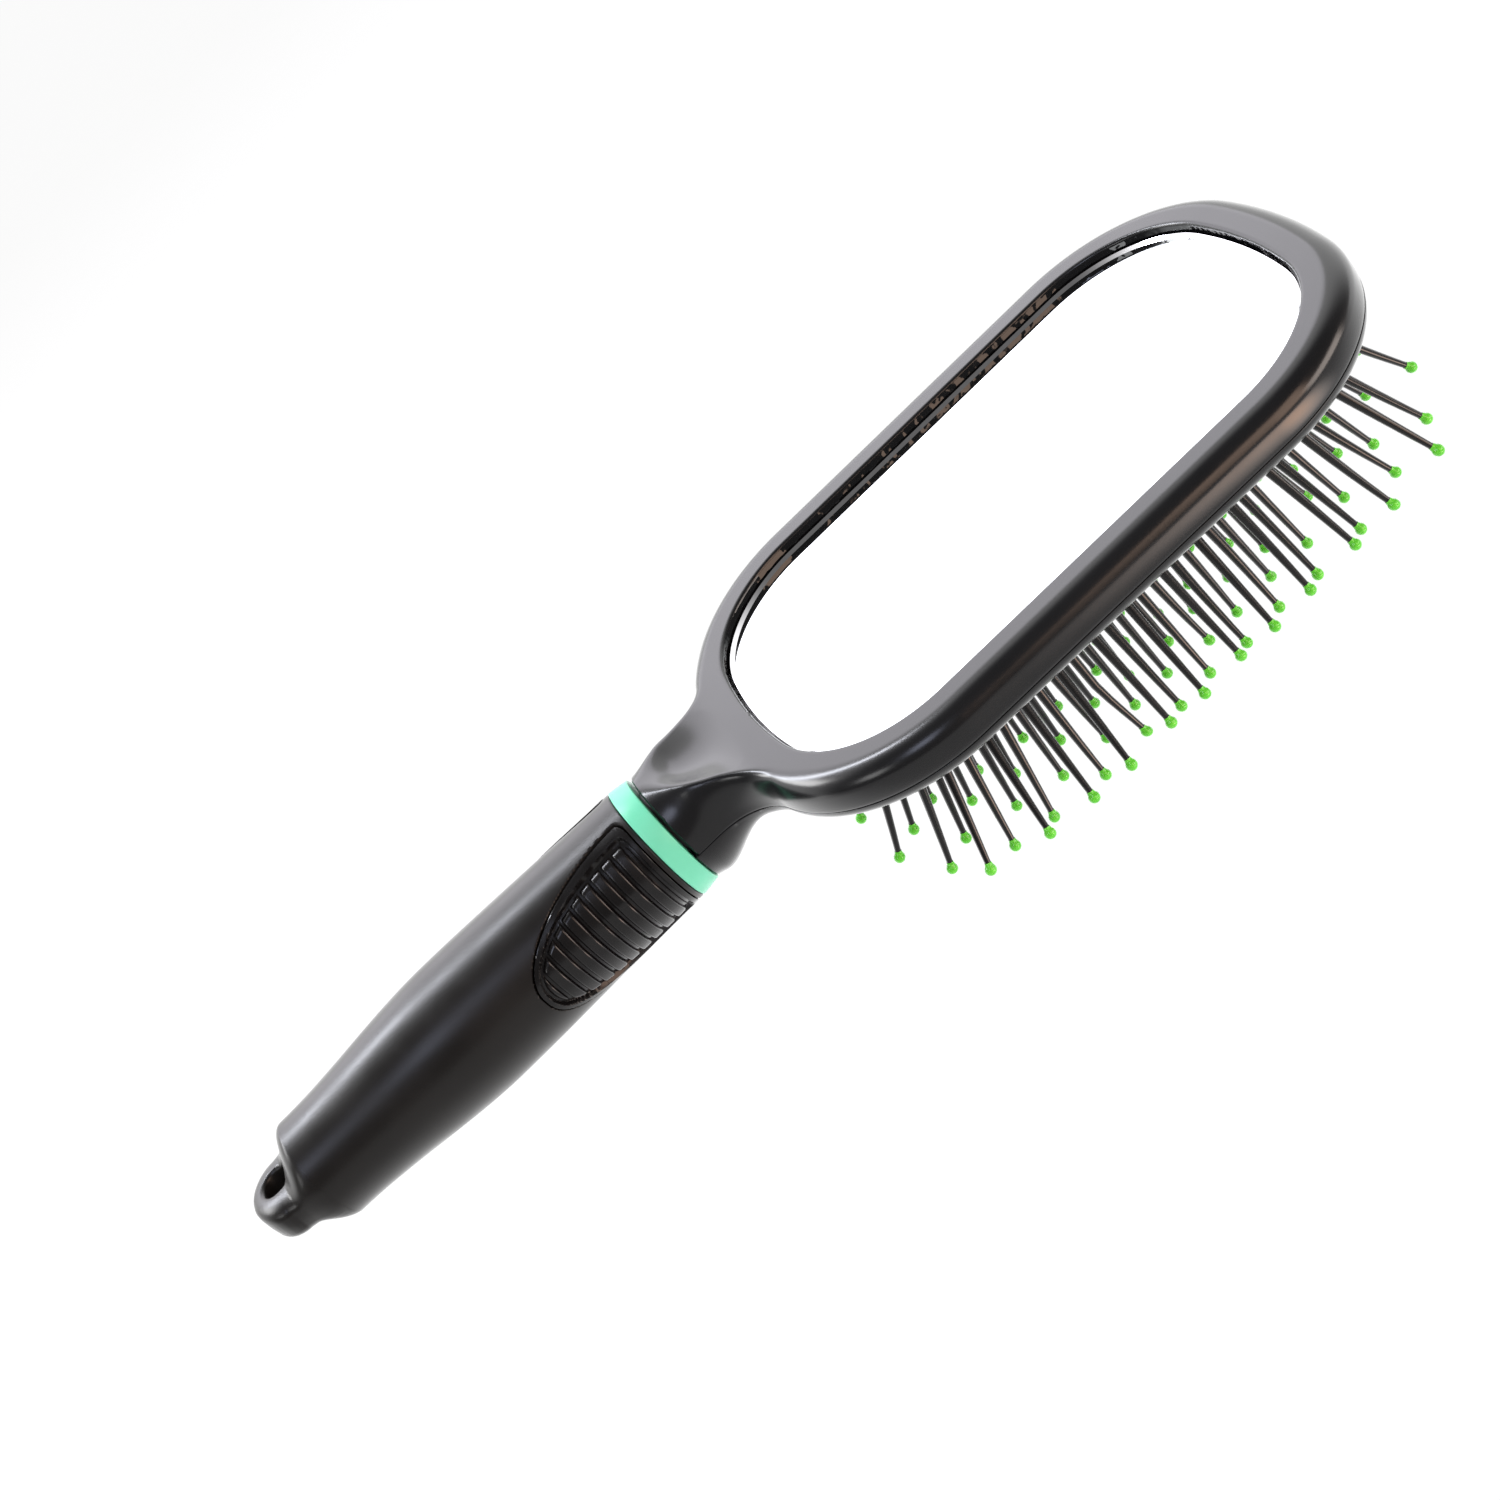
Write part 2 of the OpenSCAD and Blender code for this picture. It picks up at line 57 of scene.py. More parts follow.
camera_data = bpy.data.cameras.new("camera")
camera_data.lens = CAMERA_LENS
camera_data.sensor_width = 36
camera_data.clip_start = 0.01
camera = bpy.data.objects.new("camera", camera_data)
bpy.context.scene.collection.objects.link(camera)
right, up = Vector(CAMERA_RIGHT).normalized(), Vector(CAMERA_UP).normalized()
turn = Matrix((right, up, right.cross(up))).transposed().to_4x4()
camera.matrix_world = Matrix.Translation(CAMERA_PLACE) @ turn
bpy.context.scene.camera = camera

# ---- Studio ---------------------------------------------------------------------------------------
# A pale paper floor below the brush in a white room, with one large softbox behind for the face. Small
# ones draw the highlights: a strip and two windows for neck and handle, a cool box for the near wall
# and two warm lamps towards the tip. Floor and room show white, and the floor keeps the shadow.
# In reflections the floor shows painted light: a painted glow, brighter behind the brush, and a
# painted warm pool of light beyond the tip.
FLOOR_DROP = 0.14
FLOOR_HALF = 12.0
WHITE = "#FFFFFF"
PAPER, PAPER_CLOUD, PAPER_GLOW = "#F6F5F3", 0.025, 0.9
# What the gloss sees: the floor glows with painted light, brighter behind the brush than in front of
# it, and the room is brighter behind the brush too
PAINTED_GLOW_DARK, PAINTED_GLOW_BRIGHT, PAINTED_GLOW_FROM, PAINTED_GLOW_TO = 0.55, 2.0, -0.25, 0.2
PAINTED_GLOW_WAY = (0.0, 1.0, 0.0)
# A painted warm pool of light on the floor beyond the tip, which only reflections see
PAINTED_POOL_TINT, PAINTED_POOL_AT, PAINTED_POOL_R, PAINTED_POOL_GLOW = "#FFD6BC", (0.25, -0.22, 0.0), 0.17, 8.5
PAINTED_POOL_CORE, PAINTED_POOL_SHAPE = 0.03, (1.0, 0.55, 0.0)
ROOM_DIFFUSE = 0.6
ROOM_DARK, ROOM_BRIGHT, ROOM_FROM, ROOM_TO = 0.15, 1.7, -0.05, 0.45
ROOM_BRIGHT_WAY = (-0.1, 1.0, -0.1)
SHOWN_WHITE = 1.0


def linear(code):
    """An sRGB hex colour as linear red, green, blue and alpha, by the sRGB curve."""
    c = np.array([int(code[i : i + 2], 16) for i in (1, 3, 5)]) / 255
    return (*np.where(c <= 0.04045, c / 12.92, ((c + 0.055) / 1.055) ** 2.4).tolist(), 1.0)


def node(tree, kind, links=(), **settings):
    """Adds one node: settings are its properties, and links pairs each input's name or number with a
    value or with the output that feeds it."""
    made = tree.nodes.new(kind)
    for key, value in settings.items():
        setattr(made, key, value)
    for socket, value in dict(links).items():
        if isinstance(value, bpy.types.NodeSocket):
            tree.links.new(value, made.inputs[socket])
        else:
            made.inputs[socket].default_value = value
    return made


def new_material(name):
    """An empty node material and its tree."""
    made = bpy.data.materials.new(name)
    made.use_nodes = True
    made.node_tree.nodes.clear()
    return made, made.node_tree


floor_mesh = bpy.data.meshes.new("paper_floor")
corners = np.array([(-1, -1), (1, -1), (1, 1), (-1, 1)]) * FLOOR_HALF
floor_mesh.from_pydata(np.column_stack([corners, np.full(4, -FLOOR_DROP)]).tolist(), [], [(0, 1, 2, 3)])
floor = bpy.data.objects.new("paper_floor", floor_mesh)
bpy.context.scene.collection.objects.link(floor)
# Matt white background paper: the eye gets an even white with a soft shadow under the brush. In
# reflections it shows a painted glow instead, brighter behind the brush, with a painted warm pool of
# light beyond the tip
paper, tree = new_material("background_paper")
where = node(tree, "ShaderNodeTexCoord")
cloud = node(tree, "ShaderNodeTexNoise", {"Vector": where.outputs["Object"], "Scale": 1 / PAPER_CLOUD})
tone = node(tree, "ShaderNodeMix", {"Factor": cloud.outputs["Fac"], 6: linear(PAPER), 7: linear(WHITE)},
            data_type="RGBA")
matt = node(tree, "ShaderNodeBsdfDiffuse", {"Color": tone.outputs[2]})
glow = node(tree, "ShaderNodeEmission", {"Color": linear(WHITE), "Strength": SHOWN_WHITE})
path = node(tree, "ShaderNodeLightPath")
share = node(tree, "ShaderNodeMath", {0: path.outputs["Is Camera Ray"], 1: PAPER_GLOW}, operation="MULTIPLY")
mixed = node(tree, "ShaderNodeMixShader", {0: share.outputs[0], 1: matt.outputs[0], 2: glow.outputs[0]})
# Painted light for reflections: the floor's glow grows from in front of the brush to behind it
toward = node(tree, "ShaderNodeVectorMath", {0: where.outputs["Object"], 1: PAINTED_GLOW_WAY},
              operation="DOT_PRODUCT")
lit = node(tree, "ShaderNodeMapRange", {"Value": toward.outputs["Value"], 1: PAINTED_GLOW_FROM, 2: PAINTED_GLOW_TO,
                                        3: PAINTED_GLOW_DARK, 4: PAINTED_GLOW_BRIGHT}, interpolation_type="SMOOTHSTEP")
# A painted warm pool of light beyond the tip, added to that glow
long = node(tree, "ShaderNodeVectorMath", {0: where.outputs["Object"], 1: PAINTED_POOL_SHAPE},
            operation="MULTIPLY")
away = node(tree, "ShaderNodeVectorMath", {0: long.outputs[0], 1: PAINTED_POOL_AT}, operation="DISTANCE")
warm = node(tree, "ShaderNodeMapRange", {"Value": away.outputs["Value"], 1: PAINTED_POOL_R, 2: PAINTED_POOL_CORE},
            interpolation_type="SMOOTHSTEP")
cast = node(tree, "ShaderNodeMix", {"Factor": warm.outputs[0], 6: linear(WHITE), 7: linear(PAINTED_POOL_TINT)},
            data_type="RGBA")
power = node(tree, "ShaderNodeMath", {0: warm.outputs[0], 1: PAINTED_POOL_GLOW, 2: lit.outputs[0]},
             operation="MULTIPLY_ADD")
mirrored = node(tree, "ShaderNodeEmission", {"Color": cast.outputs[2], "Strength": power.outputs[0]})
# Glossy rays see the floor as this painted glow, not as the lit paper
both = node(tree, "ShaderNodeMixShader", {0: path.outputs["Is Glossy Ray"], 1: mixed.outputs[0],
                                          2: mirrored.outputs[0]})
node(tree, "ShaderNodeOutputMaterial", {"Surface": both.outputs[0]})
floor_mesh.materials.append(paper)

world = bpy.data.worlds.new("white_room")
bpy.context.scene.world = world
world.use_nodes = True
tree = world.node_tree
tree.nodes.clear()
path = node(tree, "ShaderNodeLightPath")
shine = node(tree, "ShaderNodeMath", {0: path.outputs["Is Glossy Ray"],
                                      1: path.outputs["Is Transmission Ray"]}, operation="MAXIMUM")
where = node(tree, "ShaderNodeTexCoord")
toward = node(tree, "ShaderNodeVectorMath", {0: where.outputs["Generated"], 1: ROOM_BRIGHT_WAY},
              operation="DOT_PRODUCT")
side = node(tree, "ShaderNodeMapRange", {"Value": toward.outputs["Value"], 1: ROOM_FROM, 2: ROOM_TO,
                                         3: ROOM_DARK, 4: ROOM_BRIGHT}, interpolation_type="SMOOTHSTEP")
for_shine = node(tree, "ShaderNodeMix", {"Factor": shine.outputs[0], 2: ROOM_DIFFUSE, 3: side.outputs[0]})
for_all = node(tree, "ShaderNodeMix", {"Factor": path.outputs["Is Camera Ray"], 2: for_shine.outputs[0],
                                       3: SHOWN_WHITE})
room = node(tree, "ShaderNodeBackground", {"Color": linear(WHITE), "Strength": for_all.outputs[0]})
node(tree, "ShaderNodeOutputWorld", {"Surface": room.outputs[0]})


def softbox(name, place, size, radiance, tint=WHITE, roll=0.0):
    """A rectangular lamp at place, facing the brush, and rolled about the line to it by an angle in
    degrees. Its power is pi times area times radiance."""
    data = bpy.data.lights.new(name, "AREA")
    data.shape = "RECTANGLE"
    data.size, data.size_y = size
    data.color = linear(tint)[:3]
    data.energy = np.pi * size[0] * size[1] * radiance
    lamp = bpy.data.objects.new(name, data)
    bpy.context.scene.collection.objects.link(lamp)
    lamp.location = place
    lamp.rotation_mode = "QUATERNION"
    lamp.rotation_quaternion = Vector(place).to_track_quat("Z", "Y") @ Quaternion((0, 0, 1), np.radians(roll))


softbox("softbox_behind", (-0.10, 1.30, 0.80), (1.9, 0.85), 1.85, "#F5F1FE")
softbox("window_handle_side", (-0.80, 0.44, 0.72), (0.36, 0.28), 12.0)
softbox("strip_over_neck", (-0.40, 0.55, 0.86), (0.7, 0.14), 24.0, "#F2F5FF", roll=120)
softbox("window_front_left", (-0.95, -0.50, 0.62), (0.3, 0.3), 4.0)
softbox("softbox_overhead", (-0.42, -0.74, 0.94), (0.3, 0.35), 4.5, "#DFE6FF")
softbox("lamp_tip_side", (0.95, -0.60, 0.14), (0.7, 0.4), 5.0, "#FFF0E6")
softbox("lamp_front_right", (0.50, -0.95, 0.46), (0.55, 0.75), 3.2, "#FFD9C0")

bpy.context.scene.view_settings.view_transform = "Standard"

# ---- Mirror, its tape, and the datums of the head -------------------------------------------------
# A flat float-glass mirror lies on foam tape in the face of the head, 2.3 mm below the frame.
# The other pieces are laid out from its centre and from the face of the head above it.
RECESS = 2.3
glass_low, glass_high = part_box("mirror_glass")
MIDDLE = np.array([(glass_low.x + glass_high.x) / 2, 0, glass_high.z]) * 1000 + [0, 0, RECESS]


def finish_node(name, material):
    """Gives a CAD node one material for all its faces."""
    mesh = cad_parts[name].data
    mesh.materials.clear()
    mesh.materials.append(material)


def mottled(name, tones, patch, sheen=None, spread=(0.0, 1.0), detail=2.0, relief=None, grain=None, **shader):
    """A material whose tone and roughness drift together over patches of a size in millimetres. One
    noise mixes two tones, and its values within spread set the roughness within sheen. The relief is a
    bump's strength and its height in millimetres, from that noise, or from a finer one where its grain
    is given in millimetres. Everything else goes to the shader's own sockets."""
    made, tree = new_material(name)
    where = node(tree, "ShaderNodeTexCoord")
    drift = node(tree, "ShaderNodeTexNoise", {"Vector": where.outputs["Object"], "Scale": 1000 / patch,
                                              "Detail": detail})
    hue = node(tree, "ShaderNodeMix", {"Factor": drift.outputs["Fac"], 6: linear(tones[0]),
                                       7: linear(tones[1])}, data_type="RGBA")
    sockets = {"Base Color": hue.outputs[2]}
    if sheen:
        rough = node(tree, "ShaderNodeMapRange", {"Value": drift.outputs["Fac"], 1: spread[0],
                                                  2: spread[1], 3: sheen[0], 4: sheen[1]})
        sockets["Roughness"] = rough.outputs[0]
    if relief:
        raised = drift
        if grain:
            raised = node(tree, "ShaderNodeTexNoise", {"Vector": where.outputs["Object"],
                                                       "Scale": 1000 / grain})
        bump = node(tree, "ShaderNodeBump", {"Height": raised.outputs["Fac"], "Strength": relief[0],
                                             "Distance": relief[1] / 1000})
        sockets["Normal"] = bump.outputs[0]
    sockets |= {key.replace("_", " "): value for key, value in shader.items()}
    surface = node(tree, "ShaderNodeBsdfPrincipled", sockets)
    node(tree, "ShaderNodeOutputMaterial", {"Surface": surface.outputs[0]})
    return made


# Silvered float glass: clear, dead flat and cool white, with the faintest haze of wiping
silvered_glass = mottled("silvered_float_glass", ("#F3F6F7", "#EEF1F3"), patch=40, sheen=(0.008, 0.03),
                         detail=3.0, Metallic=1.0)

# Glass ground and polished at the plate's edge: greyed where the silver ends, with a bright line
mirror_edge = mottled("polished_mirror_edge", ("#D9D8DA", "#EBEAEC"), patch=1.43, Metallic=1.0,
                      Roughness=0.08)

# Acrylic foam tape: matt off-white with open cells about half a millimetre across
FOAM_CELL, FOAM_DEPTH = 0.5, 0.2
foam_tape, tree = new_material("acrylic_foam_tape")
where = node(tree, "ShaderNodeTexCoord")
cells = node(tree, "ShaderNodeTexVoronoi", {"Vector": where.outputs["Object"], "Scale": 1000 / FOAM_CELL})
cell_tone = node(tree, "ShaderNodeMix", {"Factor": cells.outputs["Distance"], 6: linear("#C9C6BC"),
                                         7: linear("#E4E2DA")}, data_type="RGBA")
dimple = node(tree, "ShaderNodeBump", {"Height": cells.outputs["Distance"], "Strength": 0.4,
                                       "Distance": FOAM_DEPTH / 1000})
foam = node(tree, "ShaderNodeBsdfPrincipled", {"Base Color": cell_tone.outputs[2], "Roughness": 0.9,
                                               "Normal": dimple.outputs[0]})
node(tree, "ShaderNodeOutputMaterial", {"Surface": foam.outputs[0]})
finish_node("mirror_tape", foam_tape)

# ---- Front shell ----------------------------------------------------------------------------------
# The mirror side of head and neck is one moulding in black ABS with a fine satin texture, and with a
# polished wall around the mirror. It is welded to the back shell along the seam.
OPENING_STEPS, FILLET_STEPS, NECK_STEPS = 40, 60, 30
HALF_L, HALF_W = 58.5, 36.0
CORNER_R, END_R = 25.0, 104.0
BAND = 7.7
COLLAR_X = -82.2
NECK_R, FILLET_R = 11.4, 13.0
AXIS_Z = -6.3
SEAM_Z, POCKET_Z, FLOOR_Z = -7.0, -4.7, -5.9
SEAM_GAP, SEAM_EDGE, SEAM_SHARE = 0.03, 0.11, 0.16
WALL, LIP_R, POLISHED_ROWS = 2.2, 0.75, 6
BULGE, BULGE_FROM_X, BULGE_FADE, HEAD_T = 0.46, -72.0, 14.0, 10.0
NECK_FRONT_X, END_BEVEL = -81.5, 0.3
EDGE_MOST = 0.85
SPLIT_X = -71.0


def opening_side(count):
    """Half the mirror opening from tip to neck: points and outward normals of an end arc, a corner
    arc, a straight, and the same two arcs again, spaced evenly over each."""
    bend = np.arcsin((HALF_W - CORNER_R) / (END_R - CORNER_R))
    end_cx = HALF_L - END_R
    corner_cx = end_cx + (END_R - CORNER_R) * np.cos(bend)
    corner_cy = HALF_W - CORNER_R
    tip = np.linspace(0, bend, count, endpoint=False)
    turn = np.linspace(bend, np.pi / 2, 2 * count, endpoint=False)
    side = np.linspace(corner_cx, -corner_cx, 2 * count, endpoint=False)
    angle = np.concatenate([tip, turn, np.full(side.size, np.pi / 2), np.pi - turn[::-1], np.pi - tip[::-1]])
    normal = np.column_stack([np.cos(angle), np.sin(angle)])
    first = [end_cx, 0] + END_R * normal[: tip.size]
    second = [corner_cx, corner_cy] + CORNER_R * normal[tip.size : tip.size + turn.size]
    straight = np.column_stack([side, np.full(side.size, HALF_W)])
    points = np.concatenate([first, second, straight, (second * [-1, 1])[::-1], (first * [-1, 1])[::-1]])
    return points, normal, angle, (corner_cx, corner_cy)


def plan_columns():
    """Columns of the shells over half the outline, from tip to collar: the outer point, its outward
    normal, and the point that it is joined to inwards, on the opening or on the neck's middle line."""
    inner, normal, angle, (ccx, ccy) = opening_side(OPENING_STEPS)
    reach = CORNER_R + BAND + FILLET_R
    hollow = np.array([-ccx - np.sqrt(reach**2 - (NECK_R + FILLET_R - ccy) ** 2), NECK_R + FILLET_R])
    toward = (hollow - [-ccx, ccy]) / reach
    join_angle = np.arctan2(toward[1], toward[0])
    on_head = angle <= join_angle
    head_outer, head_inner, head_normal = (inner + BAND * normal)[on_head], inner[on_head], normal[on_head]
    turn = np.linspace(join_angle - np.pi, -np.pi / 2, FILLET_STEPS)[1:]
    arc_normal = -np.column_stack([np.cos(turn), np.sin(turn)])
    arc_outer = hollow - FILLET_R * arc_normal
    neck_x = np.linspace(hollow[0], COLLAR_X, NECK_STEPS)[1:]
    straight = np.column_stack([neck_x, np.full(neck_x.size, NECK_R)])
    outer = np.concatenate([arc_outer, straight])
    out_normal = np.concatenate([arc_normal, np.tile([0.0, 1.0], (neck_x.size, 1))])
    to_opening = outer[:, 0] > SPLIT_X
    rest = np.concatenate([inner[~on_head], [[-HALF_L, 0.0]]])
    walk = np.concatenate([[0], np.cumsum(np.linalg.norm(np.diff(rest, axis=0), axis=1))])
    t = np.arange(1, to_opening.sum() + 1) / to_opening.sum() * walk[-1]
    on_opening = np.column_stack([np.interp(t, walk, rest[:, 0]), np.interp(t, walk, rest[:, 1])])
    spine = np.interp(outer[~to_opening, 0], [COLLAR_X, outer[to_opening][-1, 0]], [COLLAR_X, -HALF_L])
    on_spine = np.column_stack([spine, np.zeros(spine.size)])
    return (np.concatenate([head_outer, outer]), np.concatenate([head_normal, out_normal]),
            np.concatenate([head_inner, on_opening, on_spine]))


half_outer, half_normal, half_inner = plan_columns()


def both_sides(half):
    """The columns of one side mirrored and joined, from the collar round the tip to the collar."""
    return np.concatenate([(half * [1, -1])[:0:-1], half])


plan_outer, plan_normal, plan_inner = map(both_sides, (half_outer, half_normal, half_inner))
on_spine = (np.abs(plan_inner[:, 1]) < 1e-9) & (plan_inner[:, 0] < 0)


def inset_of(x, y):
    """Distance inwards from the plan outline, measured along the normal of its nearest column. The
    points are taken in forty lots, to spare memory."""
    flat = np.column_stack([x.ravel(), y.ravel()])
    found = np.empty(len(flat))
    for part in np.array_split(np.arange(len(flat)), 40):
        gap = flat[part, None] - plan_outer[None]
        near = (gap**2).sum(2).argmin(1)
        found[part] = -(gap[np.arange(part.size), near] * plan_normal[near]).sum(1)
    return np.maximum(found, 0).reshape(x.shape)


def ease(t):
    """0 up to 0 and 1 from 1 on, with an S curve between them."""
    t = np.clip(t, 0, 1)
    return t * t * (3 - 2 * t)


def along_neck(x, at, values):
    """A value carried along X through a few stations, smoothed with an S curve between them."""
    at, values = np.array(at), np.array(values)
    k = np.clip(np.searchsorted(at, x) - 1, 0, len(at) - 2)
    t = np.clip((x - at[k]) / (at[k + 1] - at[k]), 0, 1)
    slope = np.gradient(values, at)
    slope[[0, -1]] = 0
    h = at[k + 1] - at[k]
    return ((2 * t**3 - 3 * t**2 + 1) * values[k] + (t**3 - 2 * t**2 + t) * h * slope[k]
            + (3 * t**2 - 2 * t**3) * values[k + 1] + (t**3 - t**2) * h * slope[k + 1])


STATIONS = (-82.2, -79.0, -77.0, -75.0, -72.0, -69.0, -66.0, -63.0, -57.0)
EDGE_WIDTH = (11.4, 9.6, 7.5, 5.0, 3.2, 2.6, 2.4, 2.7, 3.9)
EDGE_DEPTH = (11.4, 11.1, 10.6, 9.6, 8.0, 6.9, 5.8, 4.6, 3.4)
EDGE_TOP = (5.1, 4.9, 4.7, 4.2, 3.2, 2.3, 1.2, 0.3, 0.0)
DISH_MIDDLE = (6.0, 4.4, 3.0, 1.6, 0.5, 0.0, -0.1, 0.0, 0.0)
DISH_RIM = (0.0, 1.8, 2.8, 3.0, 2.5, 2.1, 1.5, 0.6, 0.0)
RIM_IN, RIM_SOFT, RIM_LIFT, RIM_REACH = 1.5, 1.5, 0.35, 1.25
DISH_FROM_X, DISH_FADE = -60.0, 8.0


def front_height(x, y):
    """Height of the front surface: a quarter-ellipse edge that grows from the head's to the neck's
    size, and on the neck a dish, a parabola across that rises to its rims, joined by a soft
    minimum."""
    wide, deep, top, middle, rim = (along_neck(x, STATIONS, v) for v in (EDGE_WIDTH, EDGE_DEPTH, EDGE_TOP,
                                                                         DISH_MIDDLE, DISH_RIM))
    share = 1 - np.minimum(inset_of(x, y) / wide, 1)
    body = top - deep + deep * np.sqrt(np.maximum(1 - share**2, 0))
    half = np.interp(-x, -half_outer[:, 0], half_outer[:, 1]) - RIM_IN
    dish = middle + rim * np.minimum(np.abs(y) / half, RIM_REACH) ** 2 + RIM_LIFT
    overlap = np.maximum(RIM_SOFT - np.abs(body - dish), 0) / RIM_SOFT
    return np.minimum(body, dish) - overlap**2 * RIM_SOFT / 4 * ease((DISH_FROM_X - x) / DISH_FADE)


def bulged(plan, z):
    """Points of the wall with its slight belly: a quartic bump over the head's thickness, which dies
    away along the neck."""
    share = BULGE * np.clip(1 - ((z + HEAD_T / 2) / (HEAD_T / 2)) ** 2, 0, 1) ** 2
    fade = ease((plan_outer[:, :1] - BULGE_FROM_X) / BULGE_FADE)
    out = plan + (share * fade)[..., None] * plan_normal[:, None]
    return np.concatenate([out, z[..., None]], axis=2)


def row(plan, z):
    """One row of points over all columns: a plan position and a height."""
    return np.column_stack([plan, np.broadcast_to(z, len(plan))])[:, None]


def to_frame(points):
    """Millimetres from the middle of the head's face, as metres in the frame of the CAD model."""
    return (points + MIDDLE) / 1000


# Points on the same step of this lattice become one vertex
WELDS_PER_MM = 1e4


def solid(name, grids, finishes, body, stands_for=(), closed=False, sharp=38):
    """One object from point grids. Each cell is a quad, points in one place become one vertex, cells
    that collapse or lie on each other go, and all faces are turned outwards by the sign of the volume.
    A grid may carry the number of the finish for each of its rows of cells. The piece rides on its
    body, and replaces the nodes that it stands for."""
    points, cells, marks = [], [], []
    start = 0
    for entry in grids:
        grid, mark = entry if isinstance(entry, tuple) else (entry, None)
        n, m = grid.shape[:2]
        number = start + np.arange(n * m).reshape(n, m)
        if closed:
            number = np.concatenate([number, number[:1]])
        quads = np.stack([number[:-1, :-1], number[1:, :-1], number[1:, 1:], number[:-1, 1:]], -1)
        mark = np.zeros(m - 1, int) if mark is None else np.asarray(mark)
        marks.append(np.broadcast_to(mark, quads.shape[:2]).ravel())
        cells.append(quads.reshape(-1, 4))
        points.append(grid.reshape(-1, 3))
        start += n * m
    points, cells, marks = np.concatenate(points), np.concatenate(cells), np.concatenate(marks)
    _, first, same = np.unique(np.round(points * WELDS_PER_MM).astype(np.int64), axis=0, return_index=True,
                               return_inverse=True)
    same = same.ravel()
    cells = same[cells]
    repeats = cells == np.roll(cells, -1, axis=1)
    crossed = (cells[:, 0] == cells[:, 2]) | (cells[:, 1] == cells[:, 3])
    alive = (repeats.sum(1) <= 1) & ~crossed
    cells, marks, repeats = cells[alive], marks[alive], repeats[alive]
    _, group, count = np.unique(np.sort(cells, axis=1), axis=0, return_inverse=True, return_counts=True)
    single = count[group.ravel()] == 1
    cells, marks, repeats = cells[single], marks[single], repeats[single]
    three = repeats.any(1)
    corners = cells[three][~repeats[three]].reshape(-1, 3)
    vertices = to_frame(points[first])
    fans = np.concatenate([cells[~three][:, [0, 1, 2]], cells[~three][:, [0, 2, 3]], corners])
    a, b, c = (vertices[fans[:, i]] for i in range(3))
    if (a * np.cross(b, c)).sum() < 0:
        cells, corners = cells[:, ::-1], corners[:, ::-1]
    every_corner = np.concatenate([cells[~three].ravel(), corners.ravel()])
    used, renumbered = np.unique(every_corner, return_inverse=True)
    quad_count = (~three).sum() * 4
    mesh = bpy.data.meshes.new(name)
    mesh.from_pydata(vertices[used].tolist(), [], renumbered[:quad_count].reshape(-1, 4).tolist()
                     + renumbered[quad_count:].reshape(-1, 3).tolist())
    for finish in finishes:
        mesh.materials.append(finish)
    marks = np.concatenate([marks[~three], marks[three]]).astype(np.int32)
    mesh.polygons.foreach_set("material_index", marks)
    mesh.polygons.foreach_set("use_smooth", np.ones(len(mesh.polygons), bool))
    mesh.set_sharp_from_angle(angle=np.radians(sharp))
    mesh.update()
    made = bpy.data.objects.new(name, mesh)
    bpy.context.scene.collection.objects.link(made)
    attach(made, body)
    if stands_for:
        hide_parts(*stands_for)
    return made


def front_grid():
    """The front shell from its inside over the seam, up the wall, across the face and down the wall
    of the mirror's recess to its floor, as a grid of columns by rows."""
    span = np.linalg.norm(plan_inner - plan_outer, axis=1, keepdims=True)
    inwards = (plan_inner - plan_outer) / span
    roof = np.where(on_spine, SEAM_Z + SEAM_GAP, FLOOR_Z)
    foot = SEAM_Z + SEAM_GAP
    middle = np.column_stack([plan_inner[:, 0], np.zeros(len(plan_inner))])
    within = plan_outer - WALL * plan_normal
    rows = [row(middle, roof), row(within, roof), row(within, foot)]
    top_of_wall = front_height(plan_outer[:, :1], plan_outer[:, 1:])
    rise = np.concatenate([[0.0, 0.06, SEAM_SHARE], np.linspace(0.3, 1, 9)])
    chamfer = SEAM_EDGE * (1 - np.clip(rise / SEAM_SHARE, 0, 1)) ** 2
    z = foot + (top_of_wall - foot) * rise
    wall = plan_outer[:, None] - (chamfer[:, None] * plan_normal[:, None])
    rows.append(bulged(wall, z))
    radius = np.minimum(along_neck(plan_outer[:, :1], STATIONS, EDGE_WIDTH), EDGE_MOST * span)
    phi = np.linspace(0, np.pi / 2, 26)[None, 1:]
    far = np.linspace(0, 1, 16)[None, 1:-1]
    lip = np.where(on_spine, 0.0, 1.0)[:, None]
    level = span - LIP_R * lip
    step = np.concatenate([radius * (1 - np.cos(phi)), radius + (level - radius) * far], axis=1)
    plan = plan_outer[:, None] + step[..., None] * inwards[:, None]
    height = front_height(plan[..., 0], plan[..., 1])
    rows.append(bulged(plan, height))
    edge_z = front_height(plan_inner[:, :1], plan_inner[:, 1:])[:, 0]
    for a in np.linspace(0, np.pi / 2, 9):
        spread = LIP_R * (1 - np.sin(a)) * lip
        rows.append(row(plan_inner - spread * inwards, edge_z - LIP_R * (1 - np.cos(a)) * lip[:, 0]))
    for down in (0.45, 0.7, 1.0):
        rows.append(row(plan_inner, np.where(on_spine, edge_z, edge_z + (POCKET_Z - edge_z) * down)))
    rows.append(row(middle, np.where(on_spine, edge_z, POCKET_Z)))
    grid = np.concatenate(rows, axis=1)
    polished = np.zeros(grid.shape[1] - 1, int)
    polished[-POLISHED_ROWS:] = 1
    return grid, polished


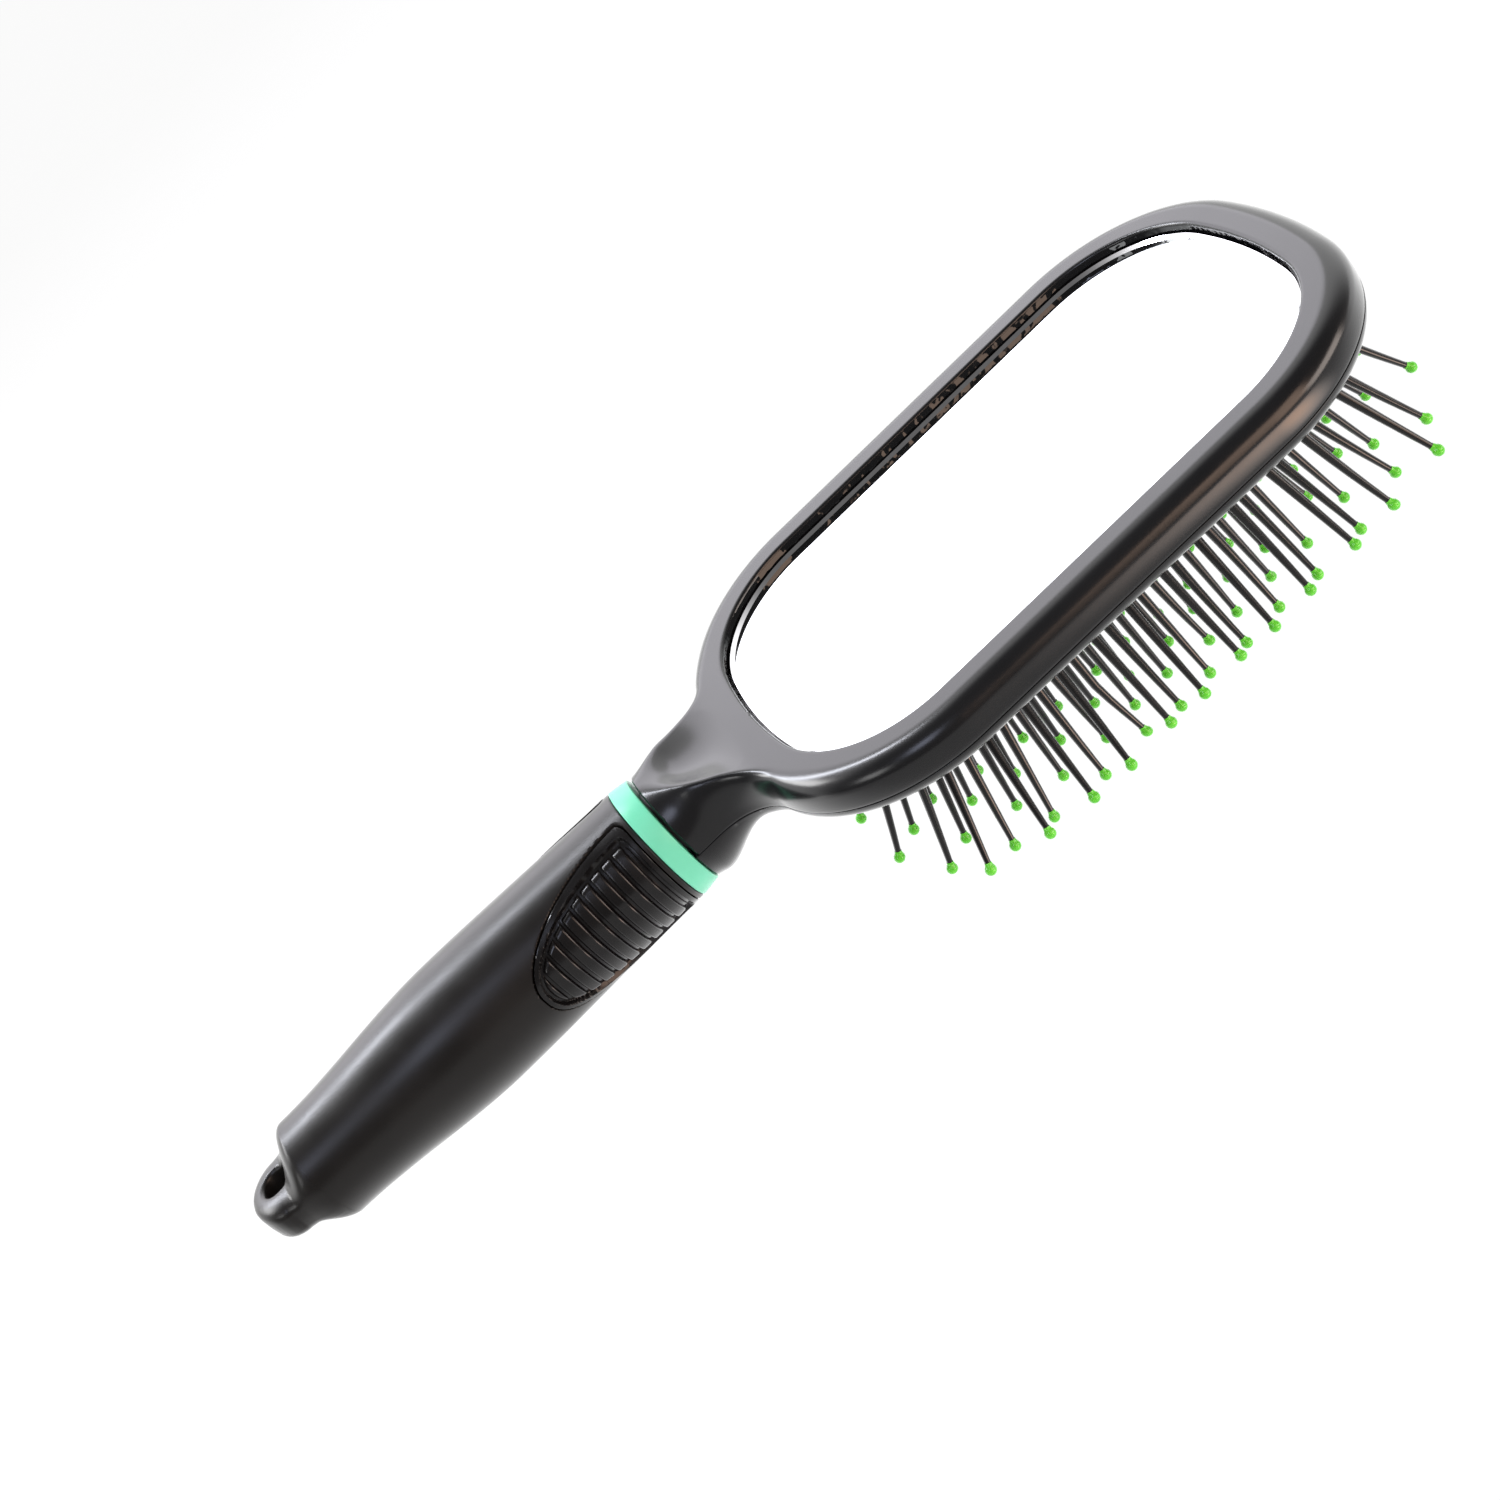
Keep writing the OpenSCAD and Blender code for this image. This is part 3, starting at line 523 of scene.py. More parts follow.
def end_cap_rows(grid, x_end):
    """The neck's end towards the collar: the last sections drawn in over a small bevel, and closed on
    their middle line. Returns the grid cut at x_end with the two end faces added."""
    x = np.maximum(grid[..., 0], x_end + END_BEVEL)
    grid = np.concatenate([x[..., None], grid[..., 1:]], axis=2)
    ends = []
    for section in (grid[0], grid[-1]):
        centre = np.array([0, 0, AXIS_Z])
        inner = centre + (section - centre) * [0, 1 - END_BEVEL / NECK_R, 1 - END_BEVEL / NECK_R]
        inner[:, 0] = x_end
        middle = inner * [1, 0, 1]
        ends.append(np.stack([inner, middle]))
    return np.concatenate([ends[0][::-1], grid, ends[1]])


# Satin ABS from a finely etched mould: near black, with a broad soft sheen and cool highlights.
# The etching is about 0.1 mm; it is drawn at 0.3 mm so that it shows.
satin_abs = mottled("satin_black_abs", ("#0C0C0E", "#131315"), patch=18.18, sheen=(0.20, 0.26),
                    spread=(0.3, 0.7), detail=4.0, relief=(0.12, 0.02), grain=0.3, IOR=1.54)

# The same ABS where the mould is polished, around the mirror: a wet black gloss with slight waves
gloss_abs = mottled("polished_black_abs", ("#080809", "#0E0E10"), patch=4.545, sheen=(0.05, 0.10),
                    relief=(0.8, 0.6), IOR=1.54)

grid, polished = front_grid()
solid("front_shell_moulding", [(end_cap_rows(grid, NECK_FRONT_X), polished)], [satin_abs, gloss_abs],
      "brush_body", ["front_shell"])

# ---- Mirror plate ---------------------------------------------------------------------------------
# The silvered glass is cut a little smaller than its recess, so that a fine dark gap runs round it.
# Its rim is ground as a narrow slope that stands up towards the gap and catches the light.
GLASS_T, GLASS_HALF_L = (glass_high.z - glass_low.z) * 1000, (glass_high.x - glass_low.x) * 500
SHADOW_GAP = 0.3
GLASS_GAP = HALF_L - GLASS_HALF_L + SHADOW_GAP
SLOPE_W, SLOPE_RISE, SLOPE_EDGE, MIDLINE = 0.85, 0.45, 0.05, 0.8


def plate_grid():
    """The plate as a closed loop of columns: from the middle line of its underside out to the edge,
    up it, down the slope and back to the middle line."""
    half, normal, _, _ = opening_side(OPENING_STEPS)
    half, normal = np.concatenate([half, [[-HALF_L, 0.0]]]), np.concatenate([normal, [[-1.0, 0.0]]])
    outline = np.concatenate([half, (half * [1, -1])[-2:0:-1]])
    out = np.concatenate([normal, (normal * [1, -1])[-2:0:-1]])
    edge, foot = outline - GLASS_GAP * out, outline - (GLASS_GAP + SLOPE_W) * out
    middle = np.column_stack([foot[:, 0] * MIDLINE, np.zeros(len(foot))])
    low, high = -RECESS - GLASS_T, -RECESS
    crest = high + SLOPE_RISE
    rows = [row(middle, low), row(foot, low), row(edge, low), row(edge, crest - SLOPE_EDGE),
            row(edge - SLOPE_EDGE * out, crest), row(foot, high), row(middle, high), row(middle, low)]
    return np.concatenate(rows, axis=1)


solid("mirror_plate", [(plate_grid(), [0, 1, 1, 1, 1, 0, 0])], [silvered_glass, mirror_edge], "brush_body",
      ["mirror_glass"], closed=True, sharp=15)

# ---- Back shell -----------------------------------------------------------------------------------
# The pin side of head and neck, moulded in the same satin ABS. Its rim holds the cushion, and its
# neck half is as deep as the collar.
CUSHION_X, CUSHION_A, CUSHION_B, CUSHION_POW = 3.0, 53.0, 33.8, 6.0
FLANGE_Z, FLANGE_OUT = -8.4, 2.9
BACK_EDGE, BACK_EDGE_GROWTH, BACK_EDGE_MOST = 2.8, 0.8, 0.78
MOUTH_R, BACK_SEAM_SHARE, LEAST_WALL = 0.4, 0.3, 0.2
SWELL, SWELL_OVER, DEEP_TO_X = 0.7, 3.0, -79.5
FLAT_FROM_X = -66.6
NECK_BACK_X = -82.1


def oval_at(angle):
    """The point of the cushion's outline, a superellipse, at a scaled polar angle."""
    c, s = np.cos(angle), np.sin(angle)
    far = (np.abs(c) ** CUSHION_POW + np.abs(s) ** CUSHION_POW) ** (-1 / CUSHION_POW)
    return np.stack([CUSHION_X + CUSHION_A * c * far, CUSHION_B * s * far], -1)


def back_edge(x):
    """How flat the back is, from 0 at the collar to 1 on the head, and the radius of its edge, which
    grows from the head's to the neck's with a power of what is left."""
    flat = ease((x - DEEP_TO_X) / (FLAT_FROM_X - DEEP_TO_X))
    return flat, BACK_EDGE + (NECK_R - BACK_EDGE) * (1 - flat) ** BACK_EDGE_GROWTH


def back_height(x, y):
    """Height of the back surface: flat on the head and falling along the neck to the collar's depth,
    with a quarter-round edge. Next to the collar it swells a little."""
    flat, r = back_edge(x)
    bottom = -(1 - flat) * (NECK_R - AXIS_Z + SWELL * ease((x - COLLAR_X) / SWELL_OVER)) - flat * HEAD_T
    inset = np.minimum(inset_of(x, y), r)
    return bottom + r - np.sqrt(np.maximum(r**2 - (r - inset) ** 2, 0))


def back_grid():
    """The back shell from the seam down the wall, round the edge, across the rim, up into the
    cushion's opening and its rebate, and back under the seam, as a grid of columns by rows."""
    angle = np.arctan2(plan_inner[:, 1] / CUSHION_B, (plan_inner[:, 0] - CUSHION_X) / CUSHION_A)
    inner = oval_at(angle)
    neck_x = np.interp(plan_inner[:, 0], [COLLAR_X, -HALF_L], [COLLAR_X, CUSHION_X - CUSHION_A])
    inner = np.where(on_spine[:, None], np.column_stack([neck_x, np.zeros(len(neck_x))]), inner)
    span = np.linalg.norm(inner - plan_outer, axis=1, keepdims=True)
    inwards = (inner - plan_outer) / span
    top = SEAM_Z - SEAM_GAP
    low = back_height(plan_outer[:, :1], plan_outer[:, 1:])
    low = np.minimum(low, top - LEAST_WALL)
    fall = np.concatenate([[0.0, 0.12, BACK_SEAM_SHARE], np.linspace(0.5, 1, 4)])
    chamfer = SEAM_EDGE * (1 - np.clip(fall / BACK_SEAM_SHARE, 0, 1)) ** 2
    z = top + (low - top) * fall
    rows = [bulged(plan_outer[:, None] - chamfer[:, None] * plan_normal[:, None], z)]
    radius = np.minimum(back_edge(plan_outer[:, :1])[1], BACK_EDGE_MOST * span)
    phi = np.linspace(0, np.pi / 2, 14)[None, 1:]
    far = np.linspace(0, 1, 12)[None, 1:-1]
    step = np.concatenate([radius * (1 - np.cos(phi)), radius + (span - radius) * far], axis=1)
    plan = plan_outer[:, None] + step[..., None] * inwards[:, None]
    height = np.minimum(back_height(plan[..., 0], plan[..., 1]), low)
    rows.append(bulged(plan, height))
    lip = np.where(on_spine, 0.0, 1.0)[:, None]
    edge_z = back_height(inner[:, :1], inner[:, 1:])[:, 0]
    for a in np.linspace(0, np.pi / 2, 4):
        rows.append(row(inner - MOUTH_R * (1 - np.sin(a)) * lip * inwards,
                        edge_z + MOUTH_R * (1 - np.cos(a)) * lip[:, 0]))
    seat = inner - FLANGE_OUT * lip * inwards
    rows.append(row(inner, np.where(on_spine, edge_z, FLANGE_Z)))
    rows.append(row(seat, np.where(on_spine, edge_z, FLANGE_Z)))
    rows.append(row(seat, top))
    rows.append(row(plan_outer - SEAM_EDGE * plan_normal, top))
    return np.concatenate(rows, axis=1)


solid("back_shell_moulding", [end_cap_rows(back_grid(), NECK_BACK_X)], [satin_abs], "brush_body",
      ["back_shell"])

# ---- Cushion retainer -----------------------------------------------------------------------------
# A flat ring between the two shells clamps the cushion's flange in the back shell's rebate. It never
# shows, so its CAD shape stays and only gets its plastic.

# Moulded ABS as it comes from the tool: plain black and slightly shiny, without a texture
retainer_abs = mottled("plain_black_abs", ("#141416", "#1D1D1F"), patch=8.33, sheen=(0.3, 0.42),
                       detail=3.0, IOR=1.54)
finish_node("cushion_retainer", retainer_abs)

# ---- Cushion --------------------------------------------------------------------------------------
# An air-filled rubber dome carries the pins. It is moulded with a small raised boss around each pin,
# and its flange is clamped between the shells.
DOME_GAP, CROWN, DOME_POW, DOME_STEPS = 0.3, 12.0, 4.6, (261, 169)
ROWS, PITCH_X, PITCH_Y, PIN_MARGIN, MOST_PITCHES = 9, 7.7, 7.5, 1.7, 8
PRESS, FLANGE_FIT, TOP_RINGS = 2.0, 0.3, (0.9, 0.5, 0.0)
BOSS_H, BOSS_R = 0.45, 1.9


def reach(x, y, a, b):
    """0 in the middle of the cushion and 1 on an outline of half sizes a and b."""
    return np.abs(x / a) ** CUSHION_POW + np.abs(y / b) ** CUSHION_POW


def dome_height(x, y):
    """The rubber's outer face: the crown falls off with a power of the distance to the rim."""
    f = np.minimum(reach(x, y, CUSHION_A - DOME_GAP, CUSHION_B - DOME_GAP), 1) ** (DOME_POW / CUSHION_POW)
    return FLANGE_Z - CROWN * (1 - f)


def row_pins(k):
    """Places of the pins of row k from the cushion's middle: one at every pitch, with every other row
    shifted by half a pitch, as far as they keep the margin to the outline."""
    y = (k - (ROWS + 1) / 2) * PITCH_Y
    x = np.arange(-MOST_PITCHES, MOST_PITCHES + 1) * PITCH_X + (PITCH_X / 2 if k % 2 else 0)
    x = x[reach(x, y, CUSHION_A - PIN_MARGIN, CUSHION_B - PIN_MARGIN) <= 1]
    return np.column_stack([x, np.full(x.size, y)])


pin_places = [row_pins(k) for k in range(1, ROWS + 1)]


def cushion_grids():
    """The dome as a square grid pulled out to the oval, with a Gaussian boss at each pin, then the
    flange around it and a closing face above, drawn in to the middle in rings."""
    s, t = np.meshgrid(*(np.linspace(-1, 1, steps) for steps in DOME_STEPS), indexing="ij")
    big = np.maximum(np.abs(s), np.abs(t))
    pull = np.where(big > 0, big / np.maximum((np.abs(s) ** CUSHION_POW + np.abs(t) ** CUSHION_POW)
                    ** (1 / CUSHION_POW), 1e-9), 0)
    x, y = s * pull * (CUSHION_A - DOME_GAP), t * pull * (CUSHION_B - DOME_GAP)
    z = dome_height(x, y)
    for px, py in np.concatenate(pin_places):
        z -= BOSS_H * np.exp(-(((x - px) ** 2 + (y - py) ** 2) / BOSS_R**2) ** 2)
    dome = np.stack([x + CUSHION_X, y, z], -1)
    loop = np.concatenate([dome[:, 0], dome[-1, 1:], dome[-2::-1, -1], dome[0, -2::-1]])
    wide = FLANGE_OUT - FLANGE_FIT
    out = (loop - [CUSHION_X, 0, 0]) * [1 + wide / CUSHION_A, 1 + wide / CUSHION_B, 1]
    out += [CUSHION_X, 0, 0]
    upper = out * [1, 1, 0] + [0, 0, SEAM_Z]
    inner = [(upper - [CUSHION_X, 0, 0]) * [f, f, 1] + [CUSHION_X, 0, 0] for f in TOP_RINGS]
    return [dome, np.stack([loop, out * [1, 1, 0] + [0, 0, FLANGE_Z], upper, *inner], axis=1)]


# Natural rubber filled with carbon black: matt, slightly dusty black with fine mould grain
rubber = mottled("matt_black_rubber", ("#0D0D0E", "#1A1A1B"), patch=11.1, sheen=(0.5, 0.68),
                 detail=5.0, relief=(0.2, 0.04), grain=0.4, IOR=1.52)

cushion = solid("air_cushion", cushion_grids(), [rubber], "brush_body", ["cushion"],
                sharp=60)
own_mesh(cushion)

# ---- Pins and their tips --------------------------------------------------------------------------
# Slim moulded nylon pins fan out from the rubber in nine staggered rows. Each is a little bent by use,
# one plainly so, and its end is dipped in green lacquer, which sets as a drop.
PIN_L, PIN_ROOT_R, PIN_END_R, ROOT_IN = 24.3, 0.95, 0.56, 0.9
FAN_X, FAN_Y, FAN_POW = 28.0, 24.0, 2.2
BALL_R, DROP_L, DROP_EDGE = 1.07, 1.35, 0.06
PIN_SIDES, TIP_SIDES = 10, 14
SWAY, BEND, PIN_SEED = 0.022, 0.35, 118
BENT_ROW, BENT_PIN, BENT_AT, BENT_BY = 2, 4, 12.0, (0.16, 0.0, 0.0)


def bristle_axes(places, random):
    """Each pin's foot on the dome, its direction, and the random bend that takes its end off the
    line. It leans outwards by a power of its distance from the middle, plus a small random lean."""
    x, y = places.T
    base = np.column_stack([x + CUSHION_X, y, dome_height(x, y)])
    lean_x = np.sign(x) * np.tan(np.radians(FAN_X)) * np.abs(x / CUSHION_A) ** FAN_POW
    lean_y = np.sign(y) * np.tan(np.radians(FAN_Y)) * np.abs(y / CUSHION_B) ** FAN_POW
    way = np.column_stack([lean_x, lean_y, -np.ones(x.size)])
    way /= np.linalg.norm(way, axis=1, keepdims=True)
    way[:, :2] += random.normal(0, SWAY, (x.size, 2))
    way /= np.linalg.norm(way, axis=1, keepdims=True)
    bend = np.column_stack([random.normal(0, BEND, (x.size, 2)), np.zeros(x.size)])
    return base, way, bend


def tubes(base, way, bend, along, radius, sides, kink=None):
    """Round tubes about axes that bend with the square of the distance along them: one grid for each,
    of along by around. The first and last radius are 0, which closes the ends. A kink turns one of
    them aside from a distance on."""
    share = along / PIN_L
    axis = base[:, None] + way[:, None] * along[:, None] + bend[:, None] * (share**2)[:, None]
    if kink is not None:
        which, at, turn_by = kink
        axis[which] += np.maximum(along - at, 0)[:, None] * np.array(turn_by)
    side = np.cross(way, [0.0, 1.0, 0.0])
    side /= np.linalg.norm(side, axis=1, keepdims=True)
    other = np.cross(way, side)
    a = np.linspace(0, 2 * np.pi, sides + 1)
    a[-1] = 0
    ring = np.cos(a)[:, None] * side[:, None, None] + np.sin(a)[:, None] * other[:, None, None]
    return list(axis[:, :, None] + radius[None, :, None, None] * ring)


pin_along = np.array([-ROOT_IN, -ROOT_IN, 0.0, 3.0, 7.0, 11.0, 15.0, 19.0, PIN_L - DROP_L, PIN_L, PIN_L])
pin_taper = PIN_ROOT_R + (PIN_END_R - PIN_ROOT_R) * np.clip(pin_along / (PIN_L - DROP_L), 0, 1)
pin_taper[[0, -1]] = 0
ball = np.radians([44, 27, 9, -9, -27, -45, -62, -77, -90])
tip_along = np.concatenate([PIN_L - DROP_L * np.array([1, 1, 0.9]), PIN_L - BALL_R * np.sin(ball)])
tip_radius = np.concatenate([[0, PIN_END_R + DROP_EDGE, PIN_END_R + 1.4 * DROP_EDGE], BALL_R * np.cos(ball)])
tip_radius[-1] = 0

# Injection-moulded nylon: dense glossy black that draws each pin with a thin white line of light
nylon = mottled("glossy_black_nylon", ("#0A090A", "#151314"), patch=3.33, sheen=(0.14, 0.26), IOR=1.53)

# Dipped lacquer: saturated leaf green, smooth and wet-looking, a little paler where the drop is thin
lacquer = mottled("green_dip_lacquer", ("#4DB826", "#74DA45"), patch=2.38, sheen=(0.08, 0.15), IOR=1.5,
                  Subsurface_Weight=0.15, Subsurface_Radius=(0.0006, 0.001, 0.0004))

random = np.random.default_rng(PIN_SEED)
for k in range(1, ROWS + 1):
    base, way, bend = bristle_axes(pin_places[k - 1], random)
    kink = (BENT_PIN, BENT_AT, BENT_BY) if k == BENT_ROW else None
    solid(f"pins_row_{k}", tubes(base, way, bend, pin_along, pin_taper, PIN_SIDES, kink), [nylon],
          "pin_field", [f"pin_row_{k}"], sharp=50)
    solid(f"tips_row_{k}", tubes(base, way, bend, tip_along, tip_radius, TIP_SIDES, kink), [lacquer],
          "pin_field", [f"tip_row_{k}"], sharp=70)

# ---- Collar ---------------------------------------------------------------------------------------
# A moulded mint-green ring of polypropylene slides over the tang between neck and handle. It widens
# a little towards the handle, and its edges are slightly rounded.
COLLAR_W, COLLAR_R0, COLLAR_R1, COLLAR_EDGE, COLLAR_GAP = 4.0, 11.65, 12.15, 0.3, 0.02
TANG_R, TANG_FIT = 8.4, 0.1
RING_SIDES = 144


def revolved(profile, sides=RING_SIDES):
    """A profile of distances behind a plane and radii, spun round the handle's axis."""
    s, r = np.array(profile).T
    a = np.linspace(0, 2 * np.pi, sides, endpoint=False)[:, None]
    return np.stack([np.broadcast_to(-s, (sides, s.size)), r * np.sin(a), AXIS_Z + r * np.cos(a)], -1)


def fillet(at, r, start, end, count=6):
    """An arc of a profile about a centre, from one angle to another, in degrees."""
    a = np.radians(np.linspace(start, end, count))
    return [(at[0] + r * np.cos(t), at[1] + r * np.sin(t)) for t in a]


# Polypropylene in mint green: waxy, softly shining, a touch translucent
mint = mottled("mint_polypropylene", ("#64CDA6", "#78D9B7"), patch=6.25, sheen=(0.3, 0.42), detail=4.0,
               relief=(0.15, 0.2), IOR=1.49, Subsurface_Weight=0.1,
               Subsurface_Radius=(0.001, 0.002, 0.0015))

near, far, hole = -COLLAR_X + COLLAR_GAP, -COLLAR_X + COLLAR_W, TANG_R + TANG_FIT
collar_profile = [(near, hole),
                  *fillet((near + COLLAR_EDGE, COLLAR_R0 - COLLAR_EDGE), COLLAR_EDGE, 180, 95),
                  *fillet((far - COLLAR_EDGE, COLLAR_R1 - COLLAR_EDGE), COLLAR_EDGE, 83, 0),
                  (far, hole), (near, hole)]
solid("collar_ring_moulding", [revolved(collar_profile)], [mint], "brush_body", ["collar_ring"],
      closed=True)

# ---- Tang -----------------------------------------------------------------------------------------
# The tube that carries the collar and the handle is moulded on the two shells, half on each, where
# the mould has no texture. It is drawn as one piece that starts inside the neck.
TANG_L, TANG_WALL, TANG_START = 22.0, 2.0, -NECK_FRONT_X - 2
tang_profile = [(TANG_START, 0), (TANG_START, TANG_R), (far + TANG_L, TANG_R),
                (far + TANG_L, TANG_R - TANG_WALL), (-COLLAR_X, TANG_R - TANG_WALL), (-COLLAR_X, 0)]
solid("shell_tang", [revolved(tang_profile)], [retainer_abs], "brush_body", closed=True)

# ---- Handle ---------------------------------------------------------------------------------------
# A round tube of satin black polypropylene that swells under the palm. Two pockets beside the collar
# take the ribbed pads.
HANDLE_X, TUBE_L = -86.2, 82.0
HANDLE_R, BELLY_R, TAIL_R, BELLY_S = 12.1, 13.0, 10.6, 45.1
TUBE_WALL, SEAT_L, FRONT_GAP, FRONT_EDGE = 3.0, 22.0, 0.12, 0.2
PAD_GAP, PAD_L, PAD_H, PAD_POW, PAD_ROUND = 1.1, 30.3, 11.3, 2.4, 1.4
POCKET_DEPTH, POCKET_EDGE, POCKETS_TO, PAD_FIT = 1.6, 0.3, 36.0, 0.12
TUBE_SIDES = 320


def handle_radius(s):
    """Radius at a distance from the collar: an S curve up to the belly and another to the tail."""
    return np.where(s < BELLY_S, HANDLE_R + (BELLY_R - HANDLE_R) * ease(s / BELLY_S),
                    BELLY_R + (TAIL_R - BELLY_R) * ease((s - BELLY_S) / (TUBE_L - BELLY_S)))


def pad_depth_in(s, z):
    """How far inside a pad's outline a point lies, seen from the side, in millimetres: the outline is
    straight at the collar, and half a superellipse beyond it, with the corners rounded off."""
    u, v = np.maximum(s - PAD_GAP, 0) / PAD_L, np.abs(z) / PAD_H
    f = (u**PAD_POW + v**PAD_POW) ** (1 / PAD_POW)
    steep = np.sqrt((u ** (PAD_POW - 1) / PAD_L) ** 2 + (v ** (PAD_POW - 1) / PAD_H) ** 2) / np.maximum(
        f, 1e-6) ** (PAD_POW - 1)
    sides, front = (1 - f) / np.maximum(steep, 1e-4), s - PAD_GAP
    return np.minimum(sides, front) - np.maximum(PAD_ROUND - np.abs(sides - front), 0) ** 2 / (4 * PAD_ROUND)


def handle_grid():
    """The tube's skin with its pockets, its tail face, bore and front face, as a closed grid."""
    s = np.concatenate([[FRONT_GAP], np.linspace(0.35, POCKETS_TO, 168),
                        np.linspace(POCKETS_TO, TUBE_L, 24)[1:]])
    a = np.linspace(0, 2 * np.pi, TUBE_SIDES, endpoint=False)[:, None]
    r = handle_radius(s)[None] + np.zeros_like(a)
    r[:, 0] -= FRONT_EDGE
    inside = pad_depth_in(s[None], r * np.cos(a)) + PAD_FIT
    r = r - POCKET_DEPTH * ease(inside / POCKET_EDGE)
    skin = np.stack([HANDLE_X - s + np.zeros_like(a), r * np.sin(a), AXIS_Z + r * np.cos(a)], -1)
    seat = -HANDLE_X + SEAT_L
    bore = [(-HANDLE_X + TUBE_L, TAIL_R - TUBE_WALL), (seat, float(handle_radius(SEAT_L)) - TUBE_WALL),
            (seat, TANG_R + TANG_FIT), (-HANDLE_X + FRONT_GAP, TANG_R + TANG_FIT)]
    inner = revolved(bore, TUBE_SIDES)
    return np.concatenate([skin, inner, skin[:, :1]], axis=1)


# Satin polypropylene: a little softer and browner than the head, polished by the hand
satin_pp = mottled("satin_black_polypropylene", ("#0E0C0B", "#181513"), patch=14.29, sheen=(0.28, 0.38),
                   spread=(0.3, 0.7), detail=4.0, relief=(0.1, 0.02), grain=0.333, IOR=1.49)
solid("handle_tube_moulding", [handle_grid()], [satin_pp], "brush_body", ["handle_tube"],
      closed=True)

# ---- Grip pads ------------------------------------------------------------------------------------
# Two ribbed pads in glossy thermoplastic rubber snap into the handle's pockets. A raised border runs
# round each, and the ribs lie across it like rings.
RIB_PITCH, RIB_W, RIB_H, RIB_SIDE, RIB_END = 2.75, 1.3, 0.8, 0.48, 1.1
RIB_STOP, RIB_OVER, LAST_RIB, LAST_FADE = 2.3, 0.5, 1.6, 0.4
BORDER_W, BORDER_H, BORDER_IN, BORDER_OUT = 1.3, 0.12, 0.3, 0.25
PAD_UNDER, PAD_EDGE_W, PAD_EDGE_H, PAD_STEP, PAD_COLUMNS = 1.5, 0.2, 0.25, 0.09, 97


def pad_face(s, z):
    """Height of a pad over the handle's skin: a low border, a groove inside it, and ribs with
    quarter-round sides that stop short of the border."""
    inside = pad_depth_in(s, z)
    phase = np.abs((s - PAD_GAP - RIB_STOP) % RIB_PITCH - RIB_PITCH / 2)
    up = np.clip((RIB_W / 2 + RIB_SIDE - phase) / RIB_SIDE, 0, 1)
    run = np.clip((inside - RIB_STOP + RIB_OVER) / RIB_END, 0, 1)
    rib = np.sqrt((1 - (1 - up) ** 2) * (1 - (1 - run) ** 2))
    rib = rib * ease((PAD_GAP + PAD_L - LAST_RIB - s) / LAST_FADE)
    border = ease((BORDER_W - inside) / BORDER_IN) * ease((inside + 0.02) / BORDER_OUT)
    return BORDER_H * border - RIB_H * (1 - np.maximum(rib, border))


def pad_grid(side):
    """One pad as closed grids: rows across it from outline to outline, closer together towards its
    edges, from the collar to its far end, over its face and back under it, and its two ends."""
    stations = np.arange(PAD_GAP + 0.01, PAD_GAP + PAD_L - 0.02, PAD_STEP)
    stations = np.concatenate([stations, [PAD_GAP + PAD_L - 0.005]])
    half = PAD_H * (1 - np.minimum((stations - PAD_GAP) / PAD_L, 1) ** PAD_POW) ** (1 / PAD_POW)
    even = np.linspace(-1, 1, PAD_COLUMNS)
    q = 0.55 * np.sin(even * np.pi / 2) + 0.45 * even
    z = half[:, None] * q
    r = handle_radius(stations)[:, None]
    phi = np.arcsin(np.clip(z / r, -1, 1))
    s = stations[:, None] + np.zeros_like(z)
    out = r + pad_face(s, z)
    out = out - PAD_EDGE_H * (1 - ease(pad_depth_in(s, z) / PAD_EDGE_W))
    under = r - PAD_UNDER
    over = np.stack([HANDLE_X - s, side * out * np.cos(phi), AXIS_Z + out * np.sin(phi)], -1)
    below = np.stack([HANDLE_X - s, side * under * np.cos(phi), AXIS_Z + under * np.sin(phi)], -1)
    shell = np.concatenate([over, below[:, ::-1], over[:, :1]], axis=1)
    first = np.stack([over[0], below[0]], axis=1)
    last = np.stack([over[-1], below[-1]], axis=1)
    return [shell, first, last]


# Thermoplastic rubber: shiny, deep black, with crisp bright lines along its edges
pad_rubber = mottled("glossy_thermoplastic_rubber", ("#090808", "#121011"), patch=7.69, sheen=(0.14, 0.3),
                     spread=(0.3, 0.7), detail=4.0, relief=(0.15, 0.2), IOR=1.5)
for hand, side in (("left", 1), ("right", -1)):
    solid(f"grip_pad_{hand}_moulding", pad_grid(side), [pad_rubber], "brush_body",
          [f"grip_pad_{hand}"], sharp=30)

# ---- End cap --------------------------------------------------------------------------------------
# The cap that plugs the handle is moulded in the same plastic. It flattens behind the handle into a
# rim with a hole through it, the hanging eye.
CAP_FROM_X, CAP_STEPS, RAY_STEPS, RAY_MOST = -168.2, 192, 1200, 30.0
EYE_X, EYE_R, EYE_T, EYE_RIM, EYE_SIDE = -175.7, 3.0, 9.0, 6.5, 1.6
EYE_DIP, EYE_DIP_W, EDGE_SHARE, BOXY = 0.7, 0.8, 0.1, 1.2


def cap_half_width(x):
    """Half width of the cap seen from above: the tube's radius, drawn in to the rim round the eye."""
    return TAIL_R + (EYE_RIM + EYE_SIDE - TAIL_R) * ease((CAP_FROM_X - x) / (CAP_FROM_X - EYE_X + 2))


